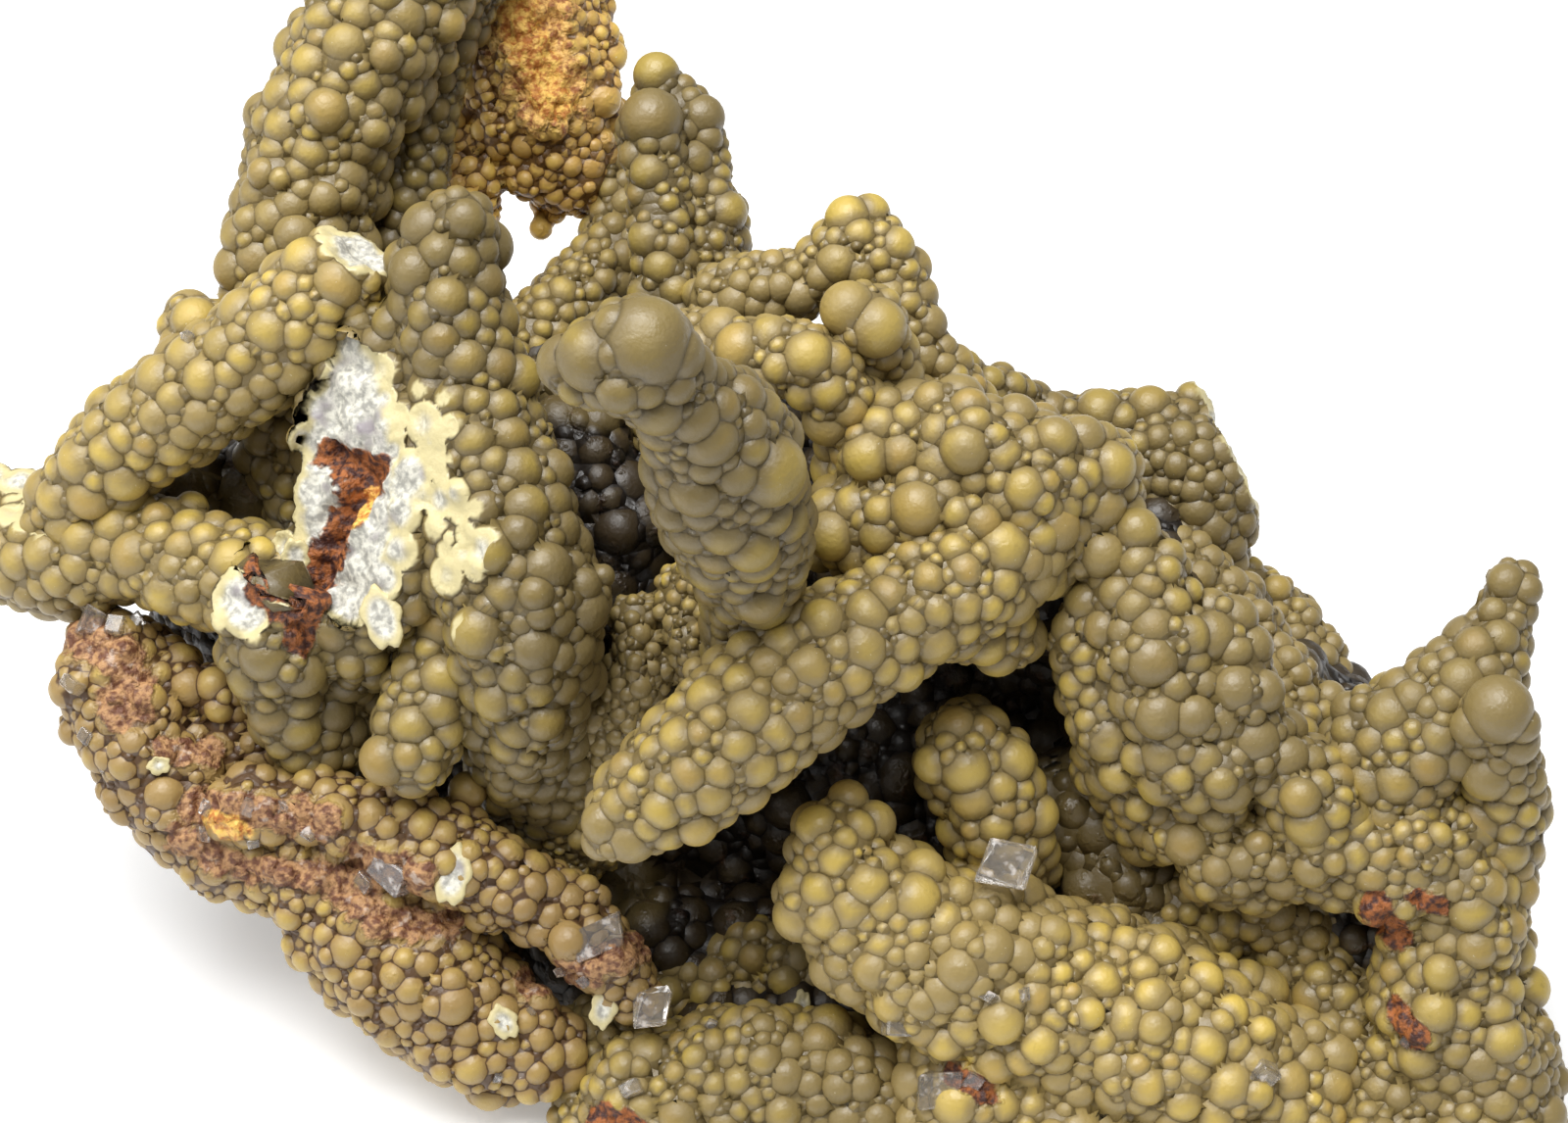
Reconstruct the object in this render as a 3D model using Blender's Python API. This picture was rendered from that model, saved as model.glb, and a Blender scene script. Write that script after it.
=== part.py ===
"""Botryoidal arsendescloizite specimen: a coral-like cluster of knobbly fingers on a lumpy crust.

Places are measured in millimetres as seen from a viewpoint in front of and above the specimen:
across to the right, up, and toward the viewpoint, from a point 27 mm above the specimen's middle.
Each branch is a string of round beads along a smooth run, grown over with round knobs.
"""
import math
import random

import bmesh
import bpy
import numpy as np
from mathutils import Euler, Matrix, Vector

# Driving dimensions, in millimetres unless named otherwise
MM = 0.001
VIEW_ELEVATION = math.radians(45)
VIEW_DISTANCE = 150.0
MIDDLE_HEIGHT = 27.0
GAP = 0.3
WIDE_GAP = 0.6
BEAD_STEP = 0.6
SKIN_SIZE = 0.45
CUTTER_SKIN_SIZE = 0.6
KNOB_SIZES = (1.6, 2.1)
BOULDER_SIZES = (2.6, 4.2)
KNOB_OVERLAP = 0.78
KNOB_SINK = 0.5
SMOOTHING_STEPS = 4
SMOOTHING_FACTOR = 0.5
KNOB_TRIES = 60
SKIN_SLACK = 0.06
JOIN_SLACK = 0.5
LEAST_LEFT = 0.35
CUTTER_DETAIL = 4
FIRST_THINNING = 4
THINNING_ATTEMPTS = 8
THINNING_STEP = 0.04
SETTLING = 0.25
BREAK_WIDTH = 13.0
CREASE_ANGLE = math.radians(40)
POCKET_GAP = 0.3

TRIANGLES_PER_SQUARE_MM = 0.52
HIDDEN_TRIANGLES_PER_SQUARE_MM = 0.13

# Each branch: its runs of (across, up, toward, half width), its own knobs of (across, up, radius)
BRANCHES = {
    "matrix": {
        "look": "brown_matrix",
        "detail": HIDDEN_TRIANGLES_PER_SQUARE_MM,
        "knob_sizes": BOULDER_SIZES,
        "runs": [
            [(-28, -3, -15, 4), (-20, -4, -16, 5), (-12, 2, -15, 5), (-3, 3, -15, 5.5), (6, 3, -11, 5),
             (14, 0, -11, 5), (21, -7, -12, 5.5), (27, -13, -12, 6), (30, -19, -12, 6)],
            [(-20, -6, -18, 5), (-12, -10, -20, 6), (-2, -11, -20, 6), (8, -11, -18, 6),
             (17, -14, -16, 6), (25, -20, -14, 6)],
            [(-18, -14, -18, 4.5), (-10, -19, -18, 5), (0, -24, -16, 6), (10, -26, -14, 7),
             (20, -28, -13, 7), (29, -30, -12, 6)],
            [(-19, -5.5, -23, 4), (-11, -3.5, -25, 5), (-2, -5.5, -27, 5.5), (8, -4, -25, 6),
             (16, -7, -24, 5), (23, -10, -20, 5)],
            [(-13, 0, -20, 5), (-4, 1, -21, 5.5), (5, 0, -19, 6), (13, -4, -18, 5.5)],
            [(14.8, -12.6, -8, 2.3), (16.2, -15.5, -8, 2.3), (18, -19, -9, 3)],
            [(-10.3, 5.8, -9, 2.2), (-9, 2.5, -9, 2.2), (-8.5, -1, -11, 2.6)],
            [(-33.2, 3.4, -10, 1.4), (-30, 2.8, -10.5, 2.2), (-26.5, 3.2, -11, 2.8), (-22, 3, -12, 3)],
            [(-13.5, 8.8, -13, 2.2), (-10, 9, -12.5, 2.2), (-7.2, 8, -12, 2.4)],
        ],
        "knobs": [],
    },
    "front_crust": {
        "look": "olive",
        "runs": [
            [(2.7, -14.6, -2, 2.4), (3.4, -17.0, -3, 3.2), (5.2, -18.6, -3.5, 3.8), (9.5, -20.7, -4, 4.6),
             (14.5, -22.7, -5, 5), (19.5, -24.7, -5, 5), (24.5, -27.7, -6, 5)],
            [(8.6, -26.8, -5, 3.2), (12, -29, -6, 5), (18, -32, -7, 5), (25, -34, -8, 5)],
        ],
        "knobs": [
            (3.25, -12.2, 1.1), (4.55, -13.35, 1.2), (1.75, -13.6, 1.2), (2.65, -15.15, 1.1),
            (5.8, -15.0, 1.1), (7.1, -15.8, 1.2), (8.9, -17.05, 1.0), (11.9, -20.15, 1.2),
            (13.65, -19.0, 1.0), (15.5, -23.05, 0.9), (17.45, -19.6, 1.0), (19.3, -20.0, 1.0),
            (21.45, -21.4, 1.0), (23.6, -21.4, 1.1), (24.5, -21.9, 1.25), (22.75, -23.05, 1.0),
            (18.75, -22.3, 1.1), (20.55, -23.2, 0.9), (21.45, -24.7, 1.2), (18.5, -26.65, 1.1),
            (9.2, -23.7, 1.1), (12.15, -25.25, 1.0), (5.55, -26.75, 1.25), (28.05, -25.25, 1.2),
        ],
    },
    "right_crust": {
        "look": "olive",
        "runs": [
            [(20.6, -12.8, -3, 2.2), (23.2, -14.8, -3, 2.4), (27.5, -14.2, -2.5, 3.0),
             (31.5, -14.5, -2.5, 3.8), (34.5, -17.2, -3, 3.3), (33.6, -22, -3.5, 3.6),
             (35.6, -26, -4, 3.6), (35, -31, -5, 4)],
            [(20.5, -17.6, -8, 2.6), (24, -17.5, -8, 2.8), (27, -21, -8, 3), (30, -26, -7, 4),
             (30, -31, -6, 5)],
        ],
        "knobs": [
            (22.7, -12.8, 1.0), (21.85, -11.15, 0.95), (20.55, -14.25, 1.3), (26.0, -12.75, 1.25),
            (29.3, -13.65, 1.0), (23.35, -15.25, 0.95), (26.9, -15.65, 1.0), (30.05, -15.95, 1.0),
            (30.2, -17.35, 1.2), (35.05, -17.7, 1.25), (18.9, -18.2, 0.9), (22.75, -18.45, 0.9),
            (34.65, -23.05, 1.0), (36.6, -24.45, 1.3), (33.0, -27.15, 1.5), (30.45, -26.9, 1.1),
            (37.85, -21.8, 1.2),
        ],
    },
    "bottom_crust": {
        "look": "olive",
        "runs": [
            [(-7.8, -27.4, -6, 2.6), (-4.0, -26.6, -6, 3.2), (0.2, -26.0, -6, 3.2), (4.2, -27.2, -6, 3.0)],
            [(-6.0, -32, -7, 3.8), (0, -32.5, -8, 5), (6, -33, -8, 5)],
            [(-9.6, -23.8, -9, 1.7), (-9.0, -26.5, -8, 2.0), (-9.0, -30, -8, 2.6)],
            [(-6.5, -21.8, -13, 2.2), (-2, -21.2, -13, 2.4), (2.5, -21.4, -12, 2.6)],
        ],
        "knobs": [(1.75, -24.6, 1.1), (-1.05, -25.35, 1.0), (-2.35, -26.5, 0.9)],
    },
    "left_crust": {
        "look": "rusty",
        "runs": [
            [(-34.4, -4.8, -6, 2.2), (-33.6, -7.6, -6, 2.8), (-31.3, -11.4, -6.5, 2.8),
             (-28.5, -14, -6.5, 2.6), (-24.9, -15.3, -6.5, 2.6), (-21.4, -18.2, -7, 3.6),
             (-17.8, -21.6, -7, 3.8), (-14.9, -24.1, -7, 3.0), (-12.0, -25.0, -7, 2.2)],
            [(-27.6, -12.6, -4, 1.8), (-22.6, -12.8, -4, 1.8), (-18.2, -14.3, -4, 2.2),
             (-14.6, -16.2, -4.5, 2.2), (-12, -17.5, -5, 1.9), (-9.5, -19.7, -4.5, 1.9),
             (-7.8, -21.9, -5, 1.5)],
            [(-33.5, -5.0, -6.5, 2.0), (-30.5, -6.2, -6, 1.3), (-28.0, -7.0, -6, 1.2)],
            [(-33.5, -8.5, -6.5, 2.0), (-30.5, -8.8, -7, 1.6), (-27.5, -8.9, -7, 1.6),
             (-24.3, -10.2, -7.5, 1.6)],
        ],
        "knobs": [
            (-30.35, -6.35, 1.1), (-26.55, -7.1, 1.0), (-24.6, -7.2, 1.2), (-30.0, -8.85, 0.9),
            (-11.9, -18.05, 0.85), (-16.15, -11.7, 1.0), (-19.3, -12.85, 0.8),
        ],
    },
    "broken_pillar": {
        "look": "olive",
        "runs": [
            [(-16.7, 17.0, 2, 1.9), (-17.2, 14.3, 1.5, 2.75), (-16.6, 11.5, 1, 2.9), (-15.9, 8, 1, 3.0),
             (-15.2, 4.5, 1, 3.4), (-14.3, 1, 1, 3.9), (-13.3, -2.5, 0.5, 4.0), (-13.1, -5.2, 0, 3.3),
             (-13.0, -9, -4, 2.8), (-12.5, -11, -9, 3.2)],
            [(-20.9, 11.4, 0, 1.9), (-21.3, 8, 0, 2.9), (-21.3, 4, 0, 3.5), (-21.8, 0, -0.5, 3.3),
             (-21.5, -4, -3, 2.6)],
            [(-19.4, 7.2, 0.4, 1.6), (-18.8, 3.8, 1.0, 2.1), (-19.2, 0.8, 0.7, 2.1), (-20.0, -2.0, -0.2, 1.8)],
            [(-23.5, -0.5, -0.5, 2.3), (-26.2, -1.6, 0, 2.3), (-26.0, -4.2, -1, 2.3),
             (-25.6, -7.0, -3, 1.9), (-23.5, -9, -6, 2.4)],
        ],
        "knobs": [
            (-18.8, 14.75, 1.4), (-17.6, 15.75, 1.1), (-16.3, 17.45, 1.1), (-22.25, 10.95, 1.2),
            (-20.1, 9.7, 1.35), (-23.6, 10.6, 1.0), (-20.05, 12.1, 1.0), (-15.3, 2.7, 1.1),
            (-13.25, 2.7, 1.3), (-16.7, -0.65, 1.4), (-12.25, -0.4, 1.5), (-19.0, -2.15, 1.2),
            (-15.55, -3.55, 1.5), (-16.0, -7.45, 1.1),
        ],
    },
    "back_left_branch": {
        "look": "olive",
        "runs": [
            [(-17.2, 32.6, -6, 3.0), (-19.4, 29.4, -5.5, 3.4), (-22.2, 24.5, -5.5, 3.5),
             (-24.0, 20, -6, 3.3), (-25.0, 15.5, -6.5, 3.4), (-25.0, 10, -8, 3.4), (-23, 3, -10.5, 3.8)],
        ],
        "knobs": [],
    },
    "rusty_mass": {
        "look": "orange_rust",
        "runs": [
            [(-17.2, 32.6, -6, 3.0), (-15.5, 33.0, -10, 3.4), (-13.9, 30.4, -14, 4.0),
             (-12.9, 27.2, -15, 4.0), (-12.4, 24.2, -15, 3.9), (-11.9, 21.2, -15.5, 2.9),
             (-10.6, 19.4, -15.5, 1.7)],
            [(-15.3, 27, -15.5, 2.4), (-15.9, 22, -15.5, 1.7), (-16.6, 17, -14.5, 1.9),
             (-17, 11, -13, 2.6)],
        ],
        "knobs": [(-8.9, 25.8, 0.9), (-9.3, 23.6, 1.0), (-10.0, 20.2, 0.9)],
    },
    "near_finger": {
        "look": "olive",
        "runs": [
            [(-7.6, 10.5, 19, 2.9), (-5.2, 8.1, 16.5, 2.5), (-3.4, 6.3, 13.5, 3.6), (-2.9, 3.8, 10.5, 3.9),
             (-2.0, 1.0, 7, 3.3), (-1.7, -1.6, 3.5, 2.3), (-1.6, -4, 0, 2.4), (-1.5, -5, -6, 3.0)],
            [(-10.2, 9.9, 18, 1.9), (-7.6, 10.5, 19, 2.9)],
        ],
        "knobs": [
            (-7.05, 11.1, 2.5), (-9.75, 10.45, 1.9), (-8.35, 8.8, 1.3), (-5.6, 10.6, 1.6), (-8.5, 11.9, 1.3), (-5.55, 9.05, 1.1),
            (-0.8, 4.7, 2.0), (-4.4, 3.7, 1.5), (-5.55, 2.55, 1.1), (-1.7, 0.9, 1.5), (-1.35, -1.8, 1.4),
        ],
    },
    "long_finger": {
        "look": "olive",
        "runs": [
            [(-8.7, -13.5, 3.5, 1.7), (-6.3, -11.7, 3.5, 2.8), (-2.8, -9.0, 3.5, 3.5), (1.0, -5.6, 3, 3.5),
             (5.2, -3.2, 2.5, 3.1), (9.0, -0.8, 2, 3.4), (12.0, 1.5, 1, 3.2)],
            [(8.5, -2.5, 1, 2.4), (11.2, -3.6, -0.5, 1.9)],
        ],
        "knobs": [
            (-8.85, -14.6, 0.6), (-6.2, -12.5, 1.2), (-4.5, -13.35, 1.2), (1.2, -5.45, 1.35),
            (2.0, -3.25, 1.4), (6.45, -3.0, 1.0), (6.1, -5.6, 1.1), (3.5, -5.8, 1.1), (0.5, -7.8, 1.1),
            (9.2, -0.5, 1.1), (11.1, 0.65, 1.5), (10.35, -2.15, 0.9),
        ],
    },
    "ridge": {
        "look": "olive",
        "runs": [
            [(5.2, 6.2, 0.5, 2.6), (8.5, 5.6, 1, 3.2), (11.8, 4.2, 1.5, 3.2), (14.6, 4.4, 0.5, 2.8),
             (15.4, 1.6, -0.5, 2.4)],
            [(3.6, 1.8, 0, 2.6), (7.5, 1.8, 1, 3.3), (11.5, 1.5, 0.5, 3.4)],
            [(8, 3, -3, 3.5), (12, 2, -6, 3.5)],
        ],
        "knobs": [
            (5.3, 8.05, 0.9), (6.05, 5.5, 1.3), (9.25, 5.75, 1.4), (9.45, 7.8, 1.1), (13.8, 6.25, 1.2),
            (15.2, 6.25, 1.25), (12.25, 2.3, 1.0),
        ],
    },
    "right_slope_finger": {
        "look": "olive",
        "runs": [
            [(17.9, 1.1, 0.5, 1.35), (18.3, -1.5, 0.5, 2.2), (18.8, -4.0, 0, 3.2), (19.8, -6.7, -0.7, 3.6),
             (21.3, -9.5, -1.5, 3.7)],
            [(22.0, -3.6, 1, 1.6), (23.1, -5.8, 0.8, 1.8), (23.4, -8, 0.5, 1.9), (25.3, -10.4, -0.5, 2.0),
             (27.2, -12.4, -0.5, 2.4)],
            [(15.9, -3.2, -0.5, 1.8), (16.4, -6, -1.2, 2.2), (17.4, -9, -2.5, 2.5), (19, -12, -5, 3)],
        ],
        "knobs": [
            (18.0, 1.55, 1.25), (20.6, -1.55, 0.8), (21.7, -3.85, 1.5), (25.6, -10.0, 1.2),
            (15.45, -2.15, 1.2), (16.35, -3.45, 1.1), (15.35, -4.7, 0.85), (14.9, -6.2, 0.9),
        ],
    },
    "left_arm": {
        "look": "olive",
        "runs": [
            [(-22.2, 15.0, 0.5, 2.3), (-24.4, 13.0, 0, 2.7), (-27.2, 10.4, -1, 2.85), (-30.2, 8.3, -2, 2.85),
             (-33, 6.4, -3, 2.7), (-35, 4.4, -4, 2.4), (-36.6, 2.4, -5.5, 2.1)],
            [(-30.0, 12.0, -4.5, 1.7), (-29.5, 9.0, -4, 1.8)],
        ],
        "knobs": [(-30.05, 12.2, 1.3)],
    },
    "left_lower_arm": {
        "look": "olive",
        "runs": [
            [(-41.5, 0.9, -9, 2.0), (-39.3, 0.6, -8, 2.7), (-36.5, 0.2, -6.5, 2.9), (-33.2, 0.7, -5, 2.6),
             (-30, -0.3, -4, 2.8), (-27.3, -1.0, -3.5, 2.8), (-24.5, -3, -4.5, 3.0), (-22, -6, -8, 3.4)],
            [(-42.5, 4.3, -9.5, 1.0), (-39.0, 3.6, -8, 1.1), (-36.4, 1.8, -7, 1.4)],
        ],
        "knobs": [
            (-31.95, 2.15, 0.9), (-30.25, 2.7, 0.9), (-28.15, -0.1, 1.3), (-26.75, 0.4, 0.9),
            (-37.85, 2.95, 1.0),
        ],
    },
    "ribbed_finger": {
        "look": "olive",
        "runs": [
            [(-6.8, 22.3, -7, 1.6), (-6.4, 19, -7, 1.55), (-6.2, 16, -7, 1.6), (-5.8, 13, -7.5, 1.9),
             (-5.5, 9, -9.5, 2.4), (-5, 4, -12, 3)],
            [(-6.3, 24.0, -9, 1.3), (-4.9, 22.3, -9, 1.6), (-4.4, 19, -9, 1.8), (-4.0, 15.5, -9, 2.1),
             (-4.2, 12, -9.5, 2.3)],
            [(-3.1, 18.1, -10, 1.1), (-3.0, 15.8, -10, 1.3), (-3.2, 12, -10, 1.6)],
        ],
        "knobs": [(-6.75, 22.55, 1.6), (-6.5, 24.8, 1.2), (-4.2, 22.65, 1.2), (-3.05, 17.8, 1.2)],
    },
    "back_right_branch": {
        "look": "olive",
        "runs": [
            [(8.6, 8.8, -8, 1.5), (10.8, 8.4, -9.5, 1.6), (13.2, 6.8, -11, 1.8), (16.5, 6.2, -11, 2.4),
             (19.4, 5.4, -11, 3.0), (21.0, 4.0, -11, 3.3), (20.5, 0, -12, 3)],
            [(21.0, 7.6, -11, 1.2), (22.0, 5.0, -11, 1.6), (23.4, 2.8, -11, 1.1)],
        ],
        "knobs": [
            (9.2, 9.95, 0.9), (10.5, 9.2, 0.8), (16.1, 7.55, 1.3), (18.65, 7.8, 1.2), (20.8, 8.3, 0.9),
        ],
    },
    "right_horn": {
        "look": "olive",
        "runs": [
            [(37.1, -1.3, 0, 1.35), (36.5, -3.2, 0, 1.5), (35.5, -5.5, 0, 2.3), (33.7, -7.8, -0.5, 3.2),
             (31.5, -9.8, -1.5, 3.4), (31, -13, -3, 3.6)],
            [(29.8, -7.9, -0.5, 1.6), (29.2, -10, -1.5, 2.0)],
        ],
        "knobs": [
            (36.85, -1.05, 1.0), (37.85, -1.45, 0.85), (36.2, -2.6, 0.8), (35.3, -4.5, 1.2),
            (30.95, -7.85, 1.4), (32.8, -10.25, 1.2),
        ],
    },
    "top_arch": {
        "look": "olive",
        "runs": [
            [(-3.4, 13.4, -5, 1.6), (-0.8, 13.9, -4.5, 1.9), (1.4, 14.3, -4, 1.7), (3.7, 15.8, -3.5, 2.1),
             (5.2, 15.2, -3.5, 1.8), (6.0, 12.8, -3.5, 1.7), (7.2, 10.6, -4, 1.6), (8.5, 8.4, -4.5, 1.9),
             (9, 6, -6, 2.2)],
        ],
        "knobs": [(3.3, 17.45, 1.25), (4.35, 17.7, 1.1), (5.6, 16.05, 1.1), (2.75, 15.25, 1.15)],
    },
    "bent_finger": {
        "look": "olive",
        "runs": [
            [(-4.6, 11.5, 0, 1.4), (-2.0, 10.6, 1.5, 1.9), (0.9, 10.3, 2.5, 1.9), (2.6, 8.6, 1.5, 2.0),
             (3.6, 6.6, 0, 1.9), (4.0, 4, -2.5, 2.2)],
        ],
        "knobs": [(-2.2, 10.85, 1.4), (1.2, 10.45, 1.4)],
    },
    "twin_ball_finger": {
        "look": "olive",
        "runs": [[(4.1, 12.2, 1.5, 2.0), (5.0, 10, -1, 1.8), (5.8, 7.5, -3, 2.2)]],
        "knobs": [(3.3, 12.85, 1.5), (4.7, 11.95, 1.6)],
    },
    "grey_finger": {
        "look": "olive",
        "runs": [[(-16.6, -4, -2, 2.6), (-18.0, -7, -1.5, 2.5), (-18.9, -9.6, -1, 2.1)]],
        "knobs": [(-20.35, -10.1, 1.35)],
    },
    "shadow_limb": {
        "look": "olive",
        "runs": [
            [(-16.3, 29.5, -9, 2.0), (-18.1, 25, -9, 1.9), (-18.9, 20, -9.5, 1.8), (-19.0, 15, -10, 2.0),
             (-17.5, 9, -11, 2.4), (-16, 2, -12.5, 3)],
        ],
        "knobs": [],
    },
    "arch_limb": {
        "look": "olive",
        "runs": [
            [(-9.3, 21, -16, 1.6), (-8.5, 18.3, -16, 1.6), (-8.6, 15.9, -15.5, 1.9), (-10.6, 13.7, -14.5, 1.9),
             (-12.8, 11.6, -13.5, 1.9), (-14.5, 9, -13, 2.2), (-14, 4, -13.5, 2.8)],
        ],
        "knobs": [],
    },
    "right_knob": {
        "look": "olive",
        "runs": [[(36.3, -7.6, 3, 1.7), (36.5, -9.8, 1, 1.9), (36.6, -12.2, -1, 2.2), (35.6, -15, -3, 2.8)]],
        "knobs": [(36.45, -7.55, 1.75), (35.1, -8.4, 1.1), (37.6, -8.3, 1.0), (35.9, -10.85, 1.35), (35.6, -13.1, 1.35), (37.75, -12.8, 0.8)],
    },
    "back_right_crust": {
        "look": "olive",
        "runs": [
            [(22.5, -1.0, -14, 1.5), (24.3, -2.8, -13.5, 2.1), (25.8, -5.2, -13, 2.4), (26.0, -8, -12.5, 2.6),
             (25.5, -11.5, -11, 3.2)],
            [(20.5, 0.2, -8.5, 1.5), (22.5, -2.8, -8.5, 2.0), (24.2, -5.5, -8, 2.3), (25.6, -8.6, -7, 2.4)],
        ],
        "knobs": [(27.5, -4.9, 0.8), (27.8, -6.95, 0.9), (25.1, -1.45, 0.8)],
    },
    "inner_knob": {
        "look": "olive",
        "runs": [[(9.2, -9.6, -3.5, 2.4), (10.6, -11.8, -4, 2.5), (11.5, -15, -7, 2.6), (11.5, -15, -11, 2.8)]],
        "knobs": [(7.7, -10.3, 1.1), (9.7, -11.95, 1.3)],
    },
    "small_stalk": {
        "look": "olive",
        "runs": [
            [(-7.6, -2.9, -3, 1.3), (-7.4, -5.5, -3, 1.5), (-8.6, -8, -4, 1.7), (-10, -11, -6.5, 2.0),
             (-11, -14, -10, 2.6)],
            [(-4.9, -1.6, -3, 1.7), (-4.2, -4.5, -3, 1.9), (-2, -8, -6, 2.4), (-3, -9, -12, 2.8)],
        ],
        "knobs": [(-9.7, -8.1, 0.85)],
    },
}

# Flat broken faces: the branch, a place on the face, its outward direction and the length cut off
BREAKS = [
    ("broken_pillar", (-20.0, 3.0, 2.3), (-0.58, -0.02, 1.0), 6.5),
    ("broken_pillar", (-26.6, -1.6, 1.4), (-0.35, 0.25, 1.0), 2.0),
    ("left_arm", (-21.6, 15.9, 0.5), (0.46, 0.80, 0.42), 3.0),
    ("left_lower_arm", (-39.6, 4.3, -8.2), (-0.05, 0.80, 0.60), 2.4),
    ("back_right_branch", (23.2, 4.4, -11.0), (0.88, 0.42, 0.10), 3.0),
]

# Clear and pale crystals on the crust: a place, its three edge lengths and its turn in degrees
CRYSTALS = {
    "rhomb_crystal": ((11.4, -15.4, -0.4), (2.5, 1.2, 2.1), (-38, 8, -12)),
    "square_crystal": ((-6.75, -22.75, -3.3), (1.8, 1.1, 1.7), (-40, 6, 10)),
    "plate_crystal": ((-9.4, -19.2, -2.6), (2.5, 0.9, 1.6), (-48, -20, 14)),
    "edge_crystal": ((-34.0, -10.1, -4.6), (1.7, 1.4, 1.5), (-30, 25, 20)),
    "upper_pale_crystal": ((6.3, -23.2, -0.9), (2.4, 1.3, 2.4), (-50, 12, 6)),
    "lower_pale_crystal": ((8.0, -26.9, -1.4), (2.2, 1.5, 1.9), (-42, -15, -8)),
}
CRYSTAL_SLANT = 0.22


def place(across, up, toward):
    """The point, in millimetres, that is seen across and up, and lies toward the viewpoint."""
    sine, cosine = math.sin(VIEW_ELEVATION), math.cos(VIEW_ELEVATION)
    shrink = (VIEW_DISTANCE - toward) / VIEW_DISTANCE
    right = across * shrink
    rise = up * shrink
    back = rise * sine - toward * cosine
    height = MIDDLE_HEIGHT + rise * cosine + toward * sine
    return np.array((right, back, height))


def seen_width(width, toward):
    """The real size of something that is seen this wide at that distance."""
    return width * (VIEW_DISTANCE - toward) / VIEW_DISTANCE


def smooth_run(points):
    """Closely spaced points on a smooth curve through the run's own points."""
    run = np.array(points, dtype=float)
    before = 2 * run[0] - run[1]
    after = 2 * run[-1] - run[-2]
    padded = np.vstack([before, run, after])
    samples = []
    for i in range(1, len(padded) - 2):
        p0, p1, p2, p3 = padded[i - 1:i + 3]
        steps = max(2, int(np.linalg.norm(p2[:3] - p1[:3]) / BEAD_STEP))
        for step in range(steps):
            t = step / steps
            linear = (p2 - p0) * t
            square = (2 * p0 - 5 * p1 + 4 * p2 - p3) * t * t
            cubic = (3 * p1 - 3 * p2 + p3 - p0) * t ** 3
            samples.append(0.5 * (2 * p1 + linear + square + cubic))
    samples.append(run[-1])
    return samples


def branch_beads(branch):
    """The branch's core: a row of (x, y, z, radius) for every bead along its runs."""
    beads = []
    for run in branch["runs"]:
        for across, up, toward, width in smooth_run(run):
            beads.append((*place(across, up, toward), seen_width(width, toward)))
    return np.array(beads)


def knob_on(beads, across, up, radius):
    """A knob seen at across and up, set into the nearest bead that lies there."""
    eye = place(0, 0, VIEW_DISTANCE)
    aim = place(across, up, 0) - eye
    aim /= np.linalg.norm(aim)
    along = (beads[:, :3] - eye) @ aim
    feet = eye + along[:, None] * aim
    miss = np.linalg.norm(beads[:, :3] - feet, axis=1)
    reach = beads[:, 3] ** 2 - miss ** 2
    met = reach > 0
    if met.any():
        depth = np.where(met, along - np.sqrt(np.maximum(reach, 0)), np.inf)
        real = radius * depth.min() / VIEW_DISTANCE
        return (*(eye + aim * (depth.min() + KNOB_SINK * real)), real)
    nearest = np.argmin(miss - beads[:, 3])
    return (*feet[nearest], radius * along[nearest] / VIEW_DISTANCE)


def skin_points(beads, others, count, dice):
    """Random points, with their outward directions, on the beads' joint surface."""
    chosen = dice.choices(range(len(beads)), weights=list(beads[:, 3] ** 2), k=count)
    directions = np.array([[dice.gauss(0, 1) for _ in range(3)] for _ in range(count)])
    directions /= np.linalg.norm(directions, axis=1)[:, None]
    centres = beads[chosen, :3]
    points = centres + directions * beads[chosen, 3][:, None]
    keep = np.ones(count, dtype=bool)
    for x, y, z, radius in beads:
        apart = np.linalg.norm(points - (x, y, z), axis=1)
        keep &= apart > radius - SKIN_SLACK
    for x, y, z, radius in others:
        apart = np.linalg.norm(points - (x, y, z), axis=1)
        keep &= apart > radius - JOIN_SLACK
    return points[keep], directions[keep]


def grow_knobs(beads, others, knobs, sizes, tries, seed):
    """Adds knobs of these sizes wherever the skin has room for one more."""
    dice = random.Random(seed)
    points, directions = skin_points(beads, others, tries, dice)
    placed = [tuple(knob) for knob in knobs]
    table = np.zeros((len(placed) + len(points), 4))
    table[:len(placed)] = placed if placed else table[:0]
    count = len(placed)
    for point, direction in zip(points, directions):
        radius = dice.uniform(*sizes)
        centre = point - direction * radius * KNOB_SINK
        apart = np.linalg.norm(table[:count, :3] - centre, axis=1)
        if (apart < KNOB_OVERLAP * (table[:count, 3] + radius)).any():
            continue
        table[count] = (*centre, radius)
        count += 1
    return [tuple(row) for row in table[:count]]


def view_direction(across, up, toward):
    """The real direction of something that points so from the viewpoint."""
    direction = place(across, up, toward) - place(0, 0, 0)
    return Vector(direction).normalized()


def principled(name, colour, roughness, transmission=0.0, ior=1.5):
    """A plain material of one colour."""
    material = bpy.data.materials.new(name)
    material.use_nodes = True
    shader = material.node_tree.nodes["Principled BSDF"]
    shader.inputs["Base Color"].default_value = (*colour, 1)
    shader.inputs["Roughness"].default_value = roughness
    shader.inputs["Metallic"].default_value = 0.0
    shader.inputs["Transmission Weight"].default_value = transmission
    shader.inputs["IOR"].default_value = ior
    material.diffuse_color = (*colour, 1)
    return material


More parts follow.
